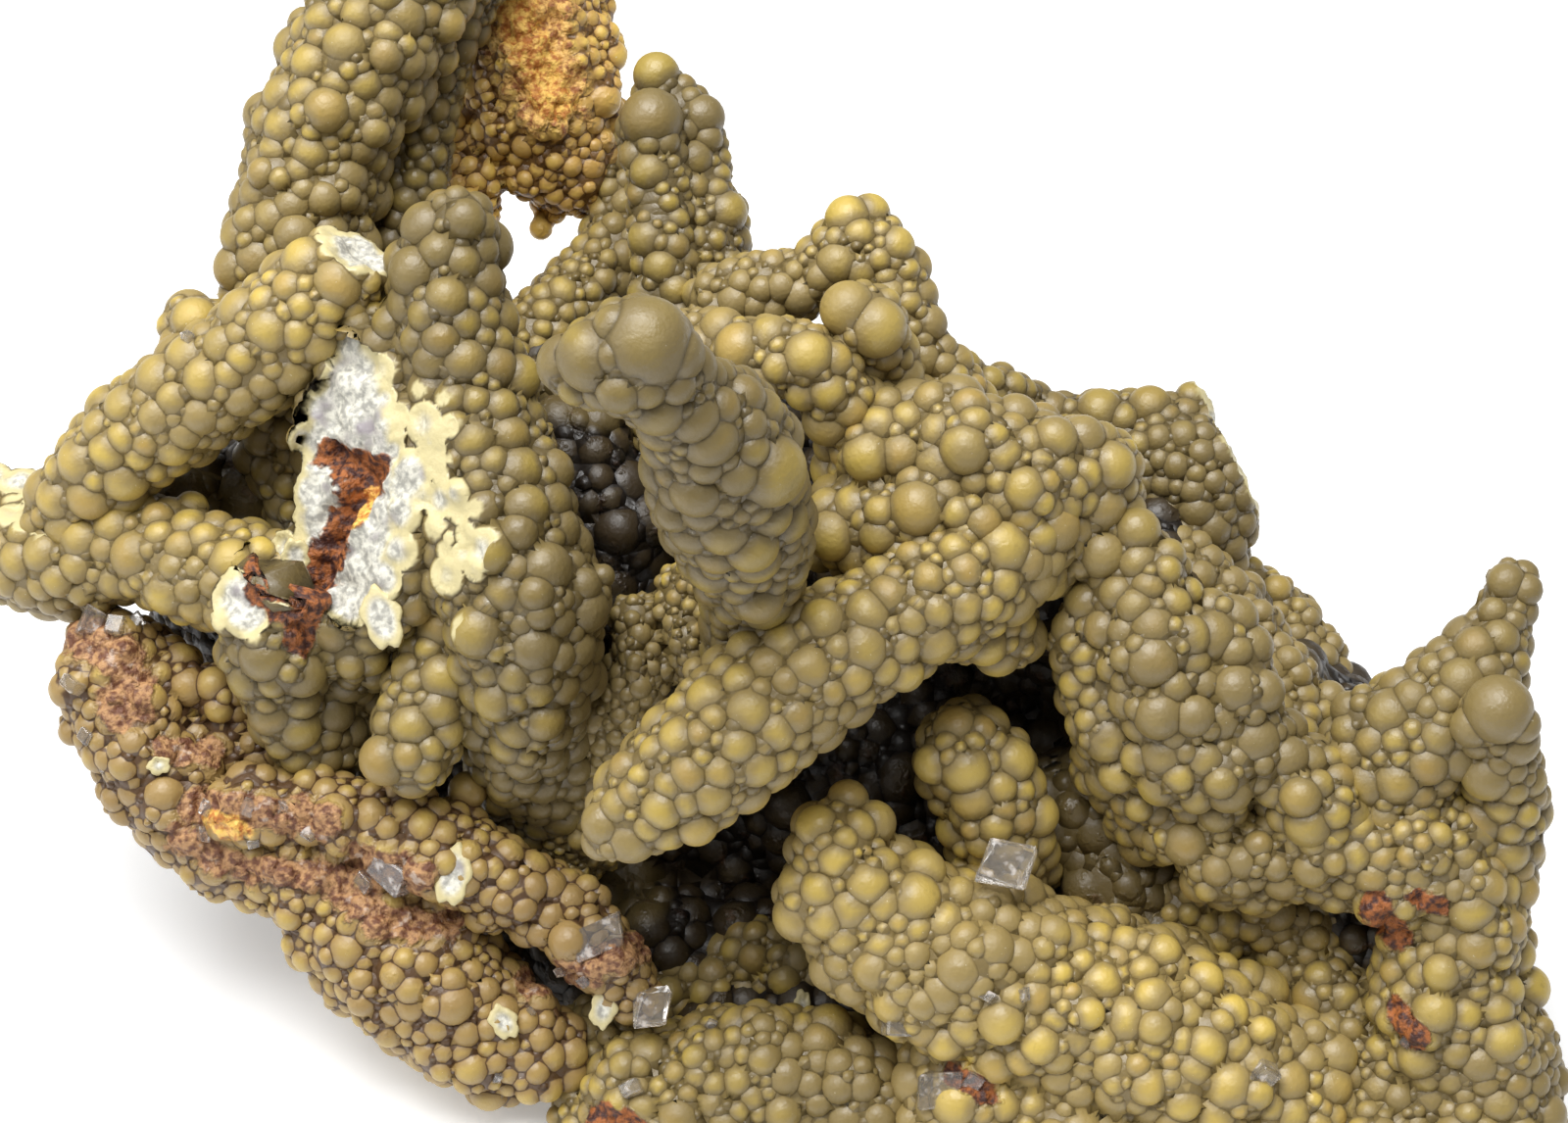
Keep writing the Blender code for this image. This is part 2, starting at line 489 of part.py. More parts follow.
def make_materials():
    """The specimen's looks, by name."""
    return {
        "olive": principled("olive_arsendescloizite", (0.225, 0.175, 0.06), 0.5),
        "rusty": principled("rusty_crust", (0.20, 0.115, 0.05), 0.65),
        "orange_rust": principled("orange_rust", (0.36, 0.17, 0.04), 0.75),
        "brown_matrix": principled("brown_matrix", (0.13, 0.085, 0.04), 0.7),
        "crystal": principled("clear_crystal", (0.80, 0.76, 0.68), 0.15, transmission=0.6, ior=1.55),
    }


def new_object(name, mesh):
    """Links a mesh into the scene as an object."""
    piece = bpy.data.objects.new(name, mesh)
    bpy.context.scene.collection.objects.link(piece)
    return piece


def evaluated_mesh(piece):
    """The piece's mesh with its modifiers applied."""
    graph = bpy.context.evaluated_depsgraph_get()
    return bpy.data.meshes.new_from_object(piece.evaluated_get(graph))


def apply_modifiers(piece):
    """Keeps the modified shape and drops the modifiers."""
    mesh = evaluated_mesh(piece)
    piece.modifiers.clear()
    piece.data = mesh


def unit_ball():
    """The corners and triangles of a ball of radius one."""
    ball = bmesh.new()
    bmesh.ops.create_icosphere(ball, subdivisions=2, radius=1.0)
    corners = np.array([vert.co[:] for vert in ball.verts])
    triangles = np.array([[vert.index for vert in face.verts] for face in ball.faces])
    ball.free()
    return corners, triangles


def reskin(piece, size):
    """Replaces the piece's surface by one closed skin with edges of about this size."""
    skin = piece.modifiers.new("skin", "REMESH")
    skin.mode = "VOXEL"
    skin.voxel_size = size * MM
    apply_modifiers(piece)


def soften(piece):
    """Rounds the creases between the balls a little."""
    soft = piece.modifiers.new("soft", "SMOOTH")
    soft.factor = SMOOTHING_FACTOR
    soft.iterations = SMOOTHING_STEPS
    apply_modifiers(piece)


def ball_cluster(name, balls):
    """Joins the balls into one closed skin."""
    corners, triangles = unit_ball()
    points = np.vstack([corners * radius + (x, y, z) for x, y, z, radius in balls]) * MM
    faces = np.vstack([triangles + len(corners) * i for i in range(len(balls))])
    mesh = bpy.data.meshes.new(name)
    mesh.from_pydata(points.tolist(), [], faces.tolist())
    piece = new_object(name, mesh)
    reskin(piece, SKIN_SIZE)
    return piece


def largest_part(mesh):
    """Leaves only the mesh's largest connected part."""
    shape = bmesh.new()
    shape.from_mesh(mesh)
    left = set(shape.verts)
    islands = []
    while left:
        start = left.pop()
        island = {start}
        edge = [start]
        while edge:
            vert = edge.pop()
            for link in vert.link_edges:
                other = link.other_vert(vert)
                if other in left:
                    left.discard(other)
                    island.add(other)
                    edge.append(other)
        islands.append(island)
    islands.sort(key=len)
    crumbs = [vert for island in islands[:-1] for vert in island]
    bmesh.ops.delete(shape, geom=crumbs, context="VERTS")
    shape.to_mesh(mesh)
    shape.free()


def triangle_count(piece):
    """How many triangles the piece's mesh has."""
    piece.data.calc_loop_triangles()
    return len(piece.data.loop_triangles)


def is_closed(mesh):
    """Whether every edge of the mesh joins just two faces."""
    shape = bmesh.new()
    shape.from_mesh(mesh)
    closed = all(edge.is_manifold for edge in shape.edges)
    shape.free()
    return closed


def thin_out(piece, triangles):
    """Reduces the skin to about this many triangles, a little more where that keeps it closed."""
    largest_part(piece.data)
    full = piece.data
    present = triangle_count(piece)
    for attempt in range(THINNING_ATTEMPTS):
        piece.data = full.copy()
        thin = piece.modifiers.new("thin", "DECIMATE")
        thin.ratio = min(1.0, triangles * (1 + THINNING_STEP * attempt) / present)
        apply_modifiers(piece)
        if is_closed(piece.data):
            return


def swollen_copy(piece, amount):
    """A copy of the piece whose surface stands out by this many millimetres, for cutting."""
    cutter = new_object(piece.name + "_cutter", piece.data.copy())
    swell = cutter.modifiers.new("swell", "DISPLACE")
    swell.strength = amount * MM
    swell.mid_level = 0.0
    apply_modifiers(cutter)
    if amount > GAP:
        reskin(cutter, CUTTER_SKIN_SIZE)
        thin_out(cutter, CUTTER_DETAIL * triangle_count(piece))
    return cutter


def volume(mesh):
    """The space that the mesh encloses."""
    shape = bmesh.new()
    shape.from_mesh(mesh)
    enclosed = shape.calc_volume()
    shape.free()
    return enclosed


def carve(piece, cutter):
    """Takes the cutter's shape out of the piece and removes the cutter."""
    whole = piece.data
    least = LEAST_LEFT * volume(whole)
    for solver in ("EXACT", "MANIFOLD"):
        piece.data = whole.copy()
        cut = piece.modifiers.new("cut", "BOOLEAN")
        cut.operation = "DIFFERENCE"
        cut.solver = solver
        cut.object = cutter
        apply_modifiers(piece)
        if piece.data.polygons:
            largest_part(piece.data)
        if is_closed(piece.data) and volume(piece.data) > least:
            break
    bpy.data.objects.remove(cutter)


def bounds(piece):
    """The piece's lowest and highest corners."""
    places = np.array([vertex.co for vertex in piece.data.vertices])
    return places.min(axis=0), places.max(axis=0)


def meet(first, second):
    """Whether two pieces' boxes come within the gap of each other."""
    low_a, high_a = bounds(first)
    low_b, high_b = bounds(second)
    room = GAP * MM
    return bool(np.all(low_a <= high_b + room) and np.all(low_b <= high_a + room))


def block(name, size):
    """A cube or brick of this size in millimetres, its middle at the origin."""
    shape = bmesh.new()
    bmesh.ops.create_cube(shape, size=1.0)
    bmesh.ops.scale(shape, vec=Vector(size) * MM, verts=shape.verts)
    mesh = bpy.data.meshes.new(name)
    shape.to_mesh(mesh)
    shape.free()
    return new_object(name, mesh)


def level_bottom(piece):
    """Cuts the piece off flat at the surface it rests on."""
    shape = bmesh.new()
    shape.from_mesh(piece.data)
    everything = shape.verts[:] + shape.edges[:] + shape.faces[:]
    up = (0, 0, 1)
    bmesh.ops.bisect_plane(shape, geom=everything, plane_co=(0, 0, 0), plane_no=up, clear_inner=True)
    rim = [edge for edge in shape.edges if edge.is_boundary]
    bmesh.ops.holes_fill(shape, edges=rim, sides=0)
    bmesh.ops.triangulate(shape, faces=shape.faces)
    shape.to_mesh(piece.data)
    shape.free()


def settle(piece):
    """Presses what lies a hair above or below the resting surface onto it."""
    for vertex in piece.data.vertices:
        if vertex.co.z < SETTLING * MM:
            vertex.co.z = 0.0


def break_off(piece, where, direction, length):
    """Breaks the piece off flat at a place, facing a direction."""
    facing = view_direction(*direction)
    cutter = block("break_block", (BREAK_WIDTH, BREAK_WIDTH, length))
    middle = Vector(place(*where)) + facing * length / 2
    turn = facing.to_track_quat("Z", "Y").to_matrix().to_4x4()
    cutter.data.transform(Matrix.Translation(middle * MM) @ turn)
    carve(piece, cutter)


def crystal(name, growth=0.0):
    """A slanted six-sided crystal, or its shape grown on every side for cutting a pocket."""
    where, size, turn = CRYSTALS[name]
    piece = block(name, [edge + 2 * growth for edge in size])
    slant = Matrix.Shear("XY", 4, (CRYSTAL_SLANT, CRYSTAL_SLANT / 2))
    angles = Euler([math.radians(angle) for angle in turn])
    lean = angles.to_matrix().to_4x4() @ slant
    piece.data.transform(Matrix.Translation(Vector(place(*where)) * MM) @ lean)
    return piece


def shade(piece, material):
    """Gives the piece its material and smooth shading with crisp creases."""
    piece.data.materials.clear()
    piece.data.materials.append(material)
    piece.data.shade_smooth()
    piece.data.set_sharp_from_angle(angle=CREASE_ANGLE)


def surface_area(piece):
    """The piece's surface, in square millimetres."""
    return sum(face.area for face in piece.data.polygons) / MM ** 2


def grow_branch(name, cores):
    """One branch by itself: its core grown over with knobs."""
    branch = BRANCHES[name]
    beads = cores[name]
    others = np.vstack([cores[other] for other in BRANCHES if other != name])
    knobs = [knob_on(beads, *knob) for knob in branch["knobs"]]
    sizes = branch.get("knob_sizes", KNOB_SIZES)
    knobs = grow_knobs(beads, others, knobs, sizes, KNOB_TRIES * len(beads), name)
    piece = ball_cluster(name, list(beads) + knobs)
    level_bottom(piece)
    reskin(piece, SKIN_SIZE)
    soften(piece)
    return piece


def build_crystals(materials):
    """The separate crystals, each a flat-faced solid."""
    crystals = [crystal(name) for name in CRYSTALS]
    for piece in crystals:
        piece.data.materials.append(materials["crystal"])
    return crystals


def part_from(piece, earlier_pieces, gap):
    """Cuts the piece back to this distance from the earlier pieces it would touch."""
    for earlier in earlier_pieces:
        if meet(piece, earlier):
            carve(piece, swollen_copy(earlier, gap))


def build_branches(materials, crystals):
    """Grows every branch, then parts each one from those before it."""
    cores = {name: branch_beads(branch) for name, branch in BRANCHES.items()}
    pieces = []
    for name, branch in BRANCHES.items():
        piece = grow_branch(name, cores)
        wanted = branch.get("detail", TRIANGLES_PER_SQUARE_MM) * surface_area(piece)
        thin_out(piece, FIRST_THINNING * wanted)
        part_from(piece, pieces, WIDE_GAP)
        reskin(piece, SKIN_SIZE)
        thin_out(piece, branch.get("detail", TRIANGLES_PER_SQUARE_MM) * surface_area(piece))
        part_from(piece, pieces, GAP)
        for broken, where, direction, length in BREAKS:
            if broken == name:
                break_off(piece, where, direction, length)
        for grown in crystals:
            if meet(piece, grown):
                carve(piece, crystal(grown.name, POCKET_GAP))
        settle(piece)
        shade(piece, materials[branch["look"]])
        pieces.append(piece)


def main():
    for old in list(bpy.data.objects):
        bpy.data.objects.remove(old)
    materials = make_materials()
    crystals = build_crystals(materials)
    build_branches(materials, crystals)


main()
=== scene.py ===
"""Looks of the botryoidal arsendescloizite specimen, and the studio it is seen in.

Places are measured in millimetres as seen from a viewpoint in front of and above the specimen:
across to the right, up, and toward the viewpoint, from a point 27 mm above the floor.
Each branch is a string of round beads, packed over with balls of several sizes.
"""

import math

import bmesh
import bpy
import numpy as np
from mathutils import Euler, Matrix, Vector, noise


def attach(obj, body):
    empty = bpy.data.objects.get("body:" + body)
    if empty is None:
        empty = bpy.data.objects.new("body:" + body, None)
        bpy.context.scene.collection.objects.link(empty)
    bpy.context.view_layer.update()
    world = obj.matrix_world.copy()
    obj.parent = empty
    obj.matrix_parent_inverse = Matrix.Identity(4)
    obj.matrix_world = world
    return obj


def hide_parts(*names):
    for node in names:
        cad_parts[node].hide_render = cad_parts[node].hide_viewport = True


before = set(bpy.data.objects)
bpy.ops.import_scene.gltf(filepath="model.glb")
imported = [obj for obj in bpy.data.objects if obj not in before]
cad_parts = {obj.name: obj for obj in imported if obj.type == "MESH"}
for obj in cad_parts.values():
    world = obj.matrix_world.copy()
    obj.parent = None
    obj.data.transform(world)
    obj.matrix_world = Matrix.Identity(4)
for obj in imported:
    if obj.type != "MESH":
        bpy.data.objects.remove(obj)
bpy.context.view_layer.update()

# Metres in a millimetre, and the viewpoint: its angle up, its distance and the height it looks at
MM = 0.001
VIEW_ELEVATION = math.radians(45)
VIEW_DISTANCE = 150.0
MIDDLE_HEIGHT = 27.0

# Spacing of a core's beads, how far the core shrinks under its balls, and the width a break cuts
BEAD_STEP = 0.6
CORE_SHRINK = 0.12
BREAK_WIDTH = 13.0

# How near the middles of two balls may come and how deep a ball sits, as shares of the radii
KNOB_OVERLAP = 0.53
KNOB_SINK = 0.64

# Edge length of the skin over the balls, fine on what is seen and coarse on the hidden matrix
FINE_SKIN = 0.27
COARSE_SKIN = 0.5

# Radii of the balls, the largest first, and how often each is tried for a bead's radius squared
BALL_STAGES = [((1.2, 1.5), 1.5), ((0.85, 1.2), 20), ((0.55, 0.85), 25), ((0.35, 0.5), 12)]
BALL_DETAIL = 3

# Lumps that swell a branch's core under its balls: their radii and how often they are tried
LUMPS = {
    "matrix": ((2.2, 3.6), 3), "front_crust": ((1.7, 2.6), 3), "right_crust": ((1.5, 2.3), 3),
    "bottom_crust": ((1.5, 2.3), 3), "left_crust": ((1.3, 2.0), 3), "broken_pillar": ((1.4, 2.0), 1.5),
    "ridge": ((1.5, 2.1), 1.5), "right_slope_finger": ((1.4, 1.9), 1.5), "rusty_mass": ((1.2, 2.0), 3),
    "back_right_crust": ((1.1, 1.7), 3), "inner_knob": ((1.2, 1.7), 1.5),
    "back_left_branch": ((1.4, 1.9), 1.5), "small_stalk": ((0.8, 1.2), 3),
}

# The core of each branch: its runs of (across, up, toward, half width)
RUNS = {
    "matrix": [
        [(-28, -3, -15, 4), (-20, -4, -16, 5), (-12, 2, -15, 5), (-3, 3, -15, 5.5), (6, 3, -11, 5),
         (14, 0, -11, 5), (21, -7, -12, 5.5), (27, -13, -12, 6), (30, -19, -12, 6)],
        [(-20, -6, -18, 5), (-12, -10, -20, 6), (-2, -11, -20, 6), (8, -11, -18, 6), (17, -14, -16, 6),
         (25, -20, -14, 6)],
        [(-18, -14, -18, 4.5), (-10, -19, -18, 5), (0, -24, -16, 6), (10, -26, -14, 7), (20, -28, -13, 7),
         (29, -30, -12, 6)],
        [(-19, -5.5, -23, 4), (-11, -3.5, -25, 5), (-2, -5.5, -27, 5.5), (8, -4, -25, 6),
         (16, -7, -24, 5), (23, -10, -20, 5)],
        [(-13, 0, -20, 5), (-4, 1, -21, 5.5), (5, 0, -19, 6), (13, -4, -18, 5.5)],
        [(14.8, -12.6, -8, 2.3), (16.2, -15.5, -8, 2.3), (18, -19, -9, 3)],
        [(-10.3, 5.8, -9, 2.2), (-9, 2.5, -9, 2.2), (-8.5, -1, -11, 2.6)],
        [(-33.2, 3.4, -10, 1.4), (-30, 2.8, -10.5, 2.2), (-26.5, 3.2, -11, 2.8), (-22, 3, -12, 3)],
        [(-13.5, 8.8, -13, 2.2), (-10, 9, -12.5, 2.2), (-7.2, 8, -12, 2.4)],
    ],
    "front_crust": [
        [(2.7, -14.6, -2, 2.4), (3.4, -17.0, -3, 3.2), (5.2, -18.6, -3.5, 3.8), (9.5, -20.7, -4, 4.6),
         (14.5, -22.7, -5, 5), (19.5, -24.7, -5, 5), (24.5, -27.7, -6, 5)],
        [(8.6, -26.8, -5, 3.2), (12, -29, -6, 5), (18, -32, -7, 5), (25, -34, -8, 5)],
    ],
    "right_crust": [
        [(20.6, -12.8, -3, 2.2), (23.2, -14.8, -3, 2.4), (27.5, -14.2, -2.5, 3.0),
         (31.5, -14.5, -2.5, 3.8), (34.5, -17.2, -3, 3.3), (33.6, -22, -3.5, 3.6), (35.6, -26, -4, 3.6),
         (35, -31, -5, 4)],
        [(20.5, -17.6, -8, 2.6), (24, -17.5, -8, 2.8), (27, -21, -8, 3), (30, -26, -7, 4),
         (30, -31, -6, 5)],
    ],
    "bottom_crust": [
        [(-7.8, -27.4, -6, 2.6), (-4.0, -26.6, -6, 3.2), (0.2, -26.0, -6, 3.2), (4.2, -27.2, -6, 3.0)],
        [(-6.0, -32, -7, 3.8), (0, -32.5, -8, 5), (6, -33, -8, 5)],
        [(-9.6, -23.8, -9, 1.7), (-9.0, -26.5, -8, 2.0), (-9.0, -30, -8, 2.6)],
        [(-6.5, -21.8, -13, 2.2), (-2, -21.2, -13, 2.4), (2.5, -21.4, -12, 2.6)],
    ],
    "left_crust": [
        [(-34.4, -4.8, -6, 2.2), (-33.6, -7.6, -6, 2.8), (-31.3, -11.4, -6.5, 2.8),
         (-28.5, -14, -6.5, 2.6), (-24.9, -15.3, -6.5, 2.6), (-21.4, -18.2, -7, 3.6),
         (-17.8, -21.6, -7, 3.8), (-14.9, -24.1, -7, 3.0), (-12.0, -25.0, -7, 2.2)],
        [(-27.6, -12.6, -4, 1.8), (-22.6, -12.8, -4, 1.8), (-18.2, -14.3, -4, 2.2),
         (-14.6, -16.2, -4.5, 2.2), (-12, -17.5, -5, 1.9), (-9.5, -19.7, -4.5, 1.9),
         (-7.8, -21.9, -5, 1.5)],
        [(-33.5, -5.0, -6.5, 2.0), (-30.5, -6.2, -6, 1.3), (-28.0, -7.0, -6, 1.2)],
        [(-33.5, -8.5, -6.5, 2.0), (-30.5, -8.8, -7, 1.6), (-27.5, -8.9, -7, 1.6),
         (-24.3, -10.2, -7.5, 1.6)],
    ],
    "broken_pillar": [
        [(-16.7, 17.0, 2, 1.9), (-17.2, 14.3, 1.5, 2.75), (-16.6, 11.5, 1, 2.9), (-15.9, 8, 1, 3.0),
         (-15.2, 4.5, 1, 3.4), (-14.3, 1, 1, 3.9), (-13.3, -2.5, 0.5, 4.0), (-13.1, -5.2, 0, 3.3),
         (-13.0, -9, -4, 2.8), (-12.5, -11, -9, 3.2)],
        [(-20.9, 11.4, 0, 1.9), (-21.3, 8, 0, 2.9), (-21.3, 4, 0, 3.5), (-21.8, 0, -0.5, 3.3),
         (-21.5, -4, -3, 2.6)],
        [(-19.4, 7.2, 0.4, 1.6), (-18.8, 3.8, 1.0, 2.1), (-19.2, 0.8, 0.7, 2.1),
         (-20.0, -2.0, -0.2, 1.8)],
        [(-23.5, -0.5, -0.5, 2.3), (-26.2, -1.6, 0, 2.3), (-26.0, -4.2, -1, 2.3), (-25.6, -7.0, -3, 1.9),
         (-23.5, -9, -6, 2.4)],
    ],
    "back_left_branch": [
        [(-17.2, 32.6, -6, 3.0), (-19.4, 29.4, -5.5, 3.4), (-22.2, 24.5, -5.5, 3.5), (-24.0, 20, -6, 3.3),
         (-25.0, 15.5, -6.5, 3.4), (-25.0, 10, -8, 3.4), (-23, 3, -10.5, 3.8)],
    ],
    "rusty_mass": [
        [(-17.2, 32.6, -6, 3.0), (-15.5, 33.0, -10, 3.4), (-13.9, 30.4, -14, 4.0),
         (-12.9, 27.2, -15, 4.0), (-12.4, 24.2, -15, 3.9), (-11.9, 21.2, -15.5, 2.9),
         (-10.6, 19.4, -15.5, 1.7)],
        [(-15.3, 27, -15.5, 2.4), (-15.9, 22, -15.5, 1.7), (-16.6, 17, -14.5, 1.9), (-17, 11, -13, 2.6)],
    ],
    "near_finger": [
        [(-7.6, 10.5, 19, 2.9), (-5.2, 8.1, 16.5, 2.5), (-3.4, 6.3, 13.5, 3.6), (-2.9, 3.8, 10.5, 3.9),
         (-2.0, 1.0, 7, 3.3), (-1.7, -1.6, 3.5, 2.3), (-1.6, -4, 0, 2.4), (-1.5, -5, -6, 3.0)],
        [(-10.2, 9.9, 18, 1.9), (-7.6, 10.5, 19, 2.9)],
    ],
    "long_finger": [
        [(-8.7, -13.5, 3.5, 1.7), (-6.3, -11.7, 3.5, 2.8), (-2.8, -9.0, 3.5, 3.5), (1.0, -5.6, 3, 3.5),
         (5.2, -3.2, 2.5, 3.1), (9.0, -0.8, 2, 3.4), (12.0, 1.5, 1, 3.2)],
        [(8.5, -2.5, 1, 2.4), (11.2, -3.6, -0.5, 1.9)],
    ],
    "ridge": [
        [(5.2, 6.2, 0.5, 2.6), (8.5, 5.6, 1, 3.2), (11.8, 4.2, 1.5, 3.2), (14.6, 4.4, 0.5, 2.8),
         (15.4, 1.6, -0.5, 2.4)],
        [(3.6, 1.8, 0, 2.6), (7.5, 1.8, 1, 3.3), (11.5, 1.5, 0.5, 3.4)],
        [(8, 3, -3, 3.5), (12, 2, -6, 3.5)],
    ],
    "right_slope_finger": [
        [(17.9, 1.1, 0.5, 1.35), (18.3, -1.5, 0.5, 2.2), (18.8, -4.0, 0, 3.2), (19.8, -6.7, -0.7, 3.6),
         (21.3, -9.5, -1.5, 3.7)],
        [(22.0, -3.6, 1, 1.6), (23.1, -5.8, 0.8, 1.8), (23.4, -8, 0.5, 1.9), (25.3, -10.4, -0.5, 2.0),
         (27.2, -12.4, -0.5, 2.4)],
        [(15.9, -3.2, -0.5, 1.8), (16.4, -6, -1.2, 2.2), (17.4, -9, -2.5, 2.5), (19, -12, -5, 3)],
    ],
    "left_arm": [
        [(-22.2, 15.0, 0.5, 2.3), (-24.4, 13.0, 0, 2.7), (-27.2, 10.4, -1, 2.85), (-30.2, 8.3, -2, 2.85),
         (-33, 6.4, -3, 2.7), (-35, 4.4, -4, 2.4), (-36.6, 2.4, -5.5, 2.1)],
        [(-30.0, 12.0, -4.5, 1.7), (-29.5, 9.0, -4, 1.8)],
    ],
    "left_lower_arm": [
        [(-41.5, 0.9, -9, 2.0), (-39.3, 0.6, -8, 2.7), (-36.5, 0.2, -6.5, 2.9), (-33.2, 0.7, -5, 2.6),
         (-30, -0.3, -4, 2.8), (-27.3, -1.0, -3.5, 2.8), (-24.5, -3, -4.5, 3.0), (-22, -6, -8, 3.4)],
        [(-42.5, 4.3, -9.5, 1.0), (-39.0, 3.6, -8, 1.1), (-36.4, 1.8, -7, 1.4)],
    ],
    "ribbed_finger": [
        [(-6.8, 22.3, -7, 1.6), (-6.4, 19, -7, 1.55), (-6.2, 16, -7, 1.6), (-5.8, 13, -7.5, 1.9),
         (-5.5, 9, -9.5, 2.4), (-5, 4, -12, 3)],
        [(-6.3, 24.0, -9, 1.3), (-4.9, 22.3, -9, 1.6), (-4.4, 19, -9, 1.8), (-4.0, 15.5, -9, 2.1),
         (-4.2, 12, -9.5, 2.3)],
        [(-3.1, 18.1, -10, 1.1), (-3.0, 15.8, -10, 1.3), (-3.2, 12, -10, 1.6)],
    ],
    "back_right_branch": [
        [(8.6, 8.8, -8, 1.5), (10.8, 8.4, -9.5, 1.6), (13.2, 6.8, -11, 1.8), (16.5, 6.2, -11, 2.4),
         (19.4, 5.4, -11, 3.0), (21.0, 4.0, -11, 3.3), (20.5, 0, -12, 3)],
        [(21.0, 7.6, -11, 1.2), (22.0, 5.0, -11, 1.6), (23.4, 2.8, -11, 1.1)],
    ],
    "right_horn": [
        [(37.1, -1.3, 0, 1.35), (36.5, -3.2, 0, 1.5), (35.5, -5.5, 0, 2.3), (33.7, -7.8, -0.5, 3.2),
         (31.5, -9.8, -1.5, 3.4), (31, -13, -3, 3.6)],
        [(29.8, -7.9, -0.5, 1.6), (29.2, -10, -1.5, 2.0)],
    ],
    "top_arch": [
        [(-3.4, 13.4, -5, 1.6), (-0.8, 13.9, -4.5, 1.9), (1.4, 14.3, -4, 1.7), (3.7, 15.8, -3.5, 2.1),
         (5.2, 15.2, -3.5, 1.8), (6.0, 12.8, -3.5, 1.7), (7.2, 10.6, -4, 1.6), (8.5, 8.4, -4.5, 1.9),
         (9, 6, -6, 2.2)],
    ],
    "bent_finger": [
        [(-4.6, 11.5, 0, 1.4), (-2.0, 10.6, 1.5, 1.9), (0.9, 10.3, 2.5, 1.9), (2.6, 8.6, 1.5, 2.0),
         (3.6, 6.6, 0, 1.9), (4.0, 4, -2.5, 2.2)],
    ],
    "twin_ball_finger": [[(4.1, 12.2, 1.5, 2.0), (5.0, 10, -1, 1.8), (5.8, 7.5, -3, 2.2)]],
    "grey_finger": [[(-16.6, -4, -2, 2.6), (-18.0, -7, -1.5, 2.5), (-18.9, -9.6, -1, 2.1)]],
    "shadow_limb": [
        [(-16.3, 29.5, -9, 2.0), (-18.1, 25, -9, 1.9), (-18.9, 20, -9.5, 1.8), (-19.0, 15, -10, 2.0),
         (-17.5, 9, -11, 2.4), (-16, 2, -12.5, 3)],
    ],
    "arch_limb": [
        [(-9.3, 21, -16, 1.6), (-8.5, 18.3, -16, 1.6), (-8.6, 15.9, -15.5, 1.9),
         (-10.6, 13.7, -14.5, 1.9), (-12.8, 11.6, -13.5, 1.9), (-14.5, 9, -13, 2.2),
         (-14, 4, -13.5, 2.8)],
    ],
    "right_knob": [
        [(36.3, -7.6, 3, 1.7), (36.5, -9.8, 1, 1.9), (36.6, -12.2, -1, 2.2), (35.6, -15, -3, 2.8)],
    ],
    "back_right_crust": [
        [(22.5, -1.0, -14, 1.5), (24.3, -2.8, -13.5, 2.1), (25.8, -5.2, -13, 2.4), (26.0, -8, -12.5, 2.6),
         (25.5, -11.5, -11, 3.2)],
        [(20.5, 0.2, -8.5, 1.5), (22.5, -2.8, -8.5, 2.0), (24.2, -5.5, -8, 2.3), (25.6, -8.6, -7, 2.4)],
    ],
    "inner_knob": [
        [(9.2, -9.6, -3.5, 2.4), (10.6, -11.8, -4, 2.5), (11.5, -15, -7, 2.6), (11.5, -15, -11, 2.8)],
    ],
    "small_stalk": [
        [(-7.6, -2.9, -3, 1.3), (-7.4, -5.5, -3, 1.5), (-8.6, -8, -4, 1.7), (-10, -11, -6.5, 2.0),
         (-11, -14, -10, 2.6)],
        [(-4.9, -1.6, -3, 1.7), (-4.2, -4.5, -3, 1.9), (-2, -8, -6, 2.4), (-3, -9, -12, 2.8)],
    ],
}

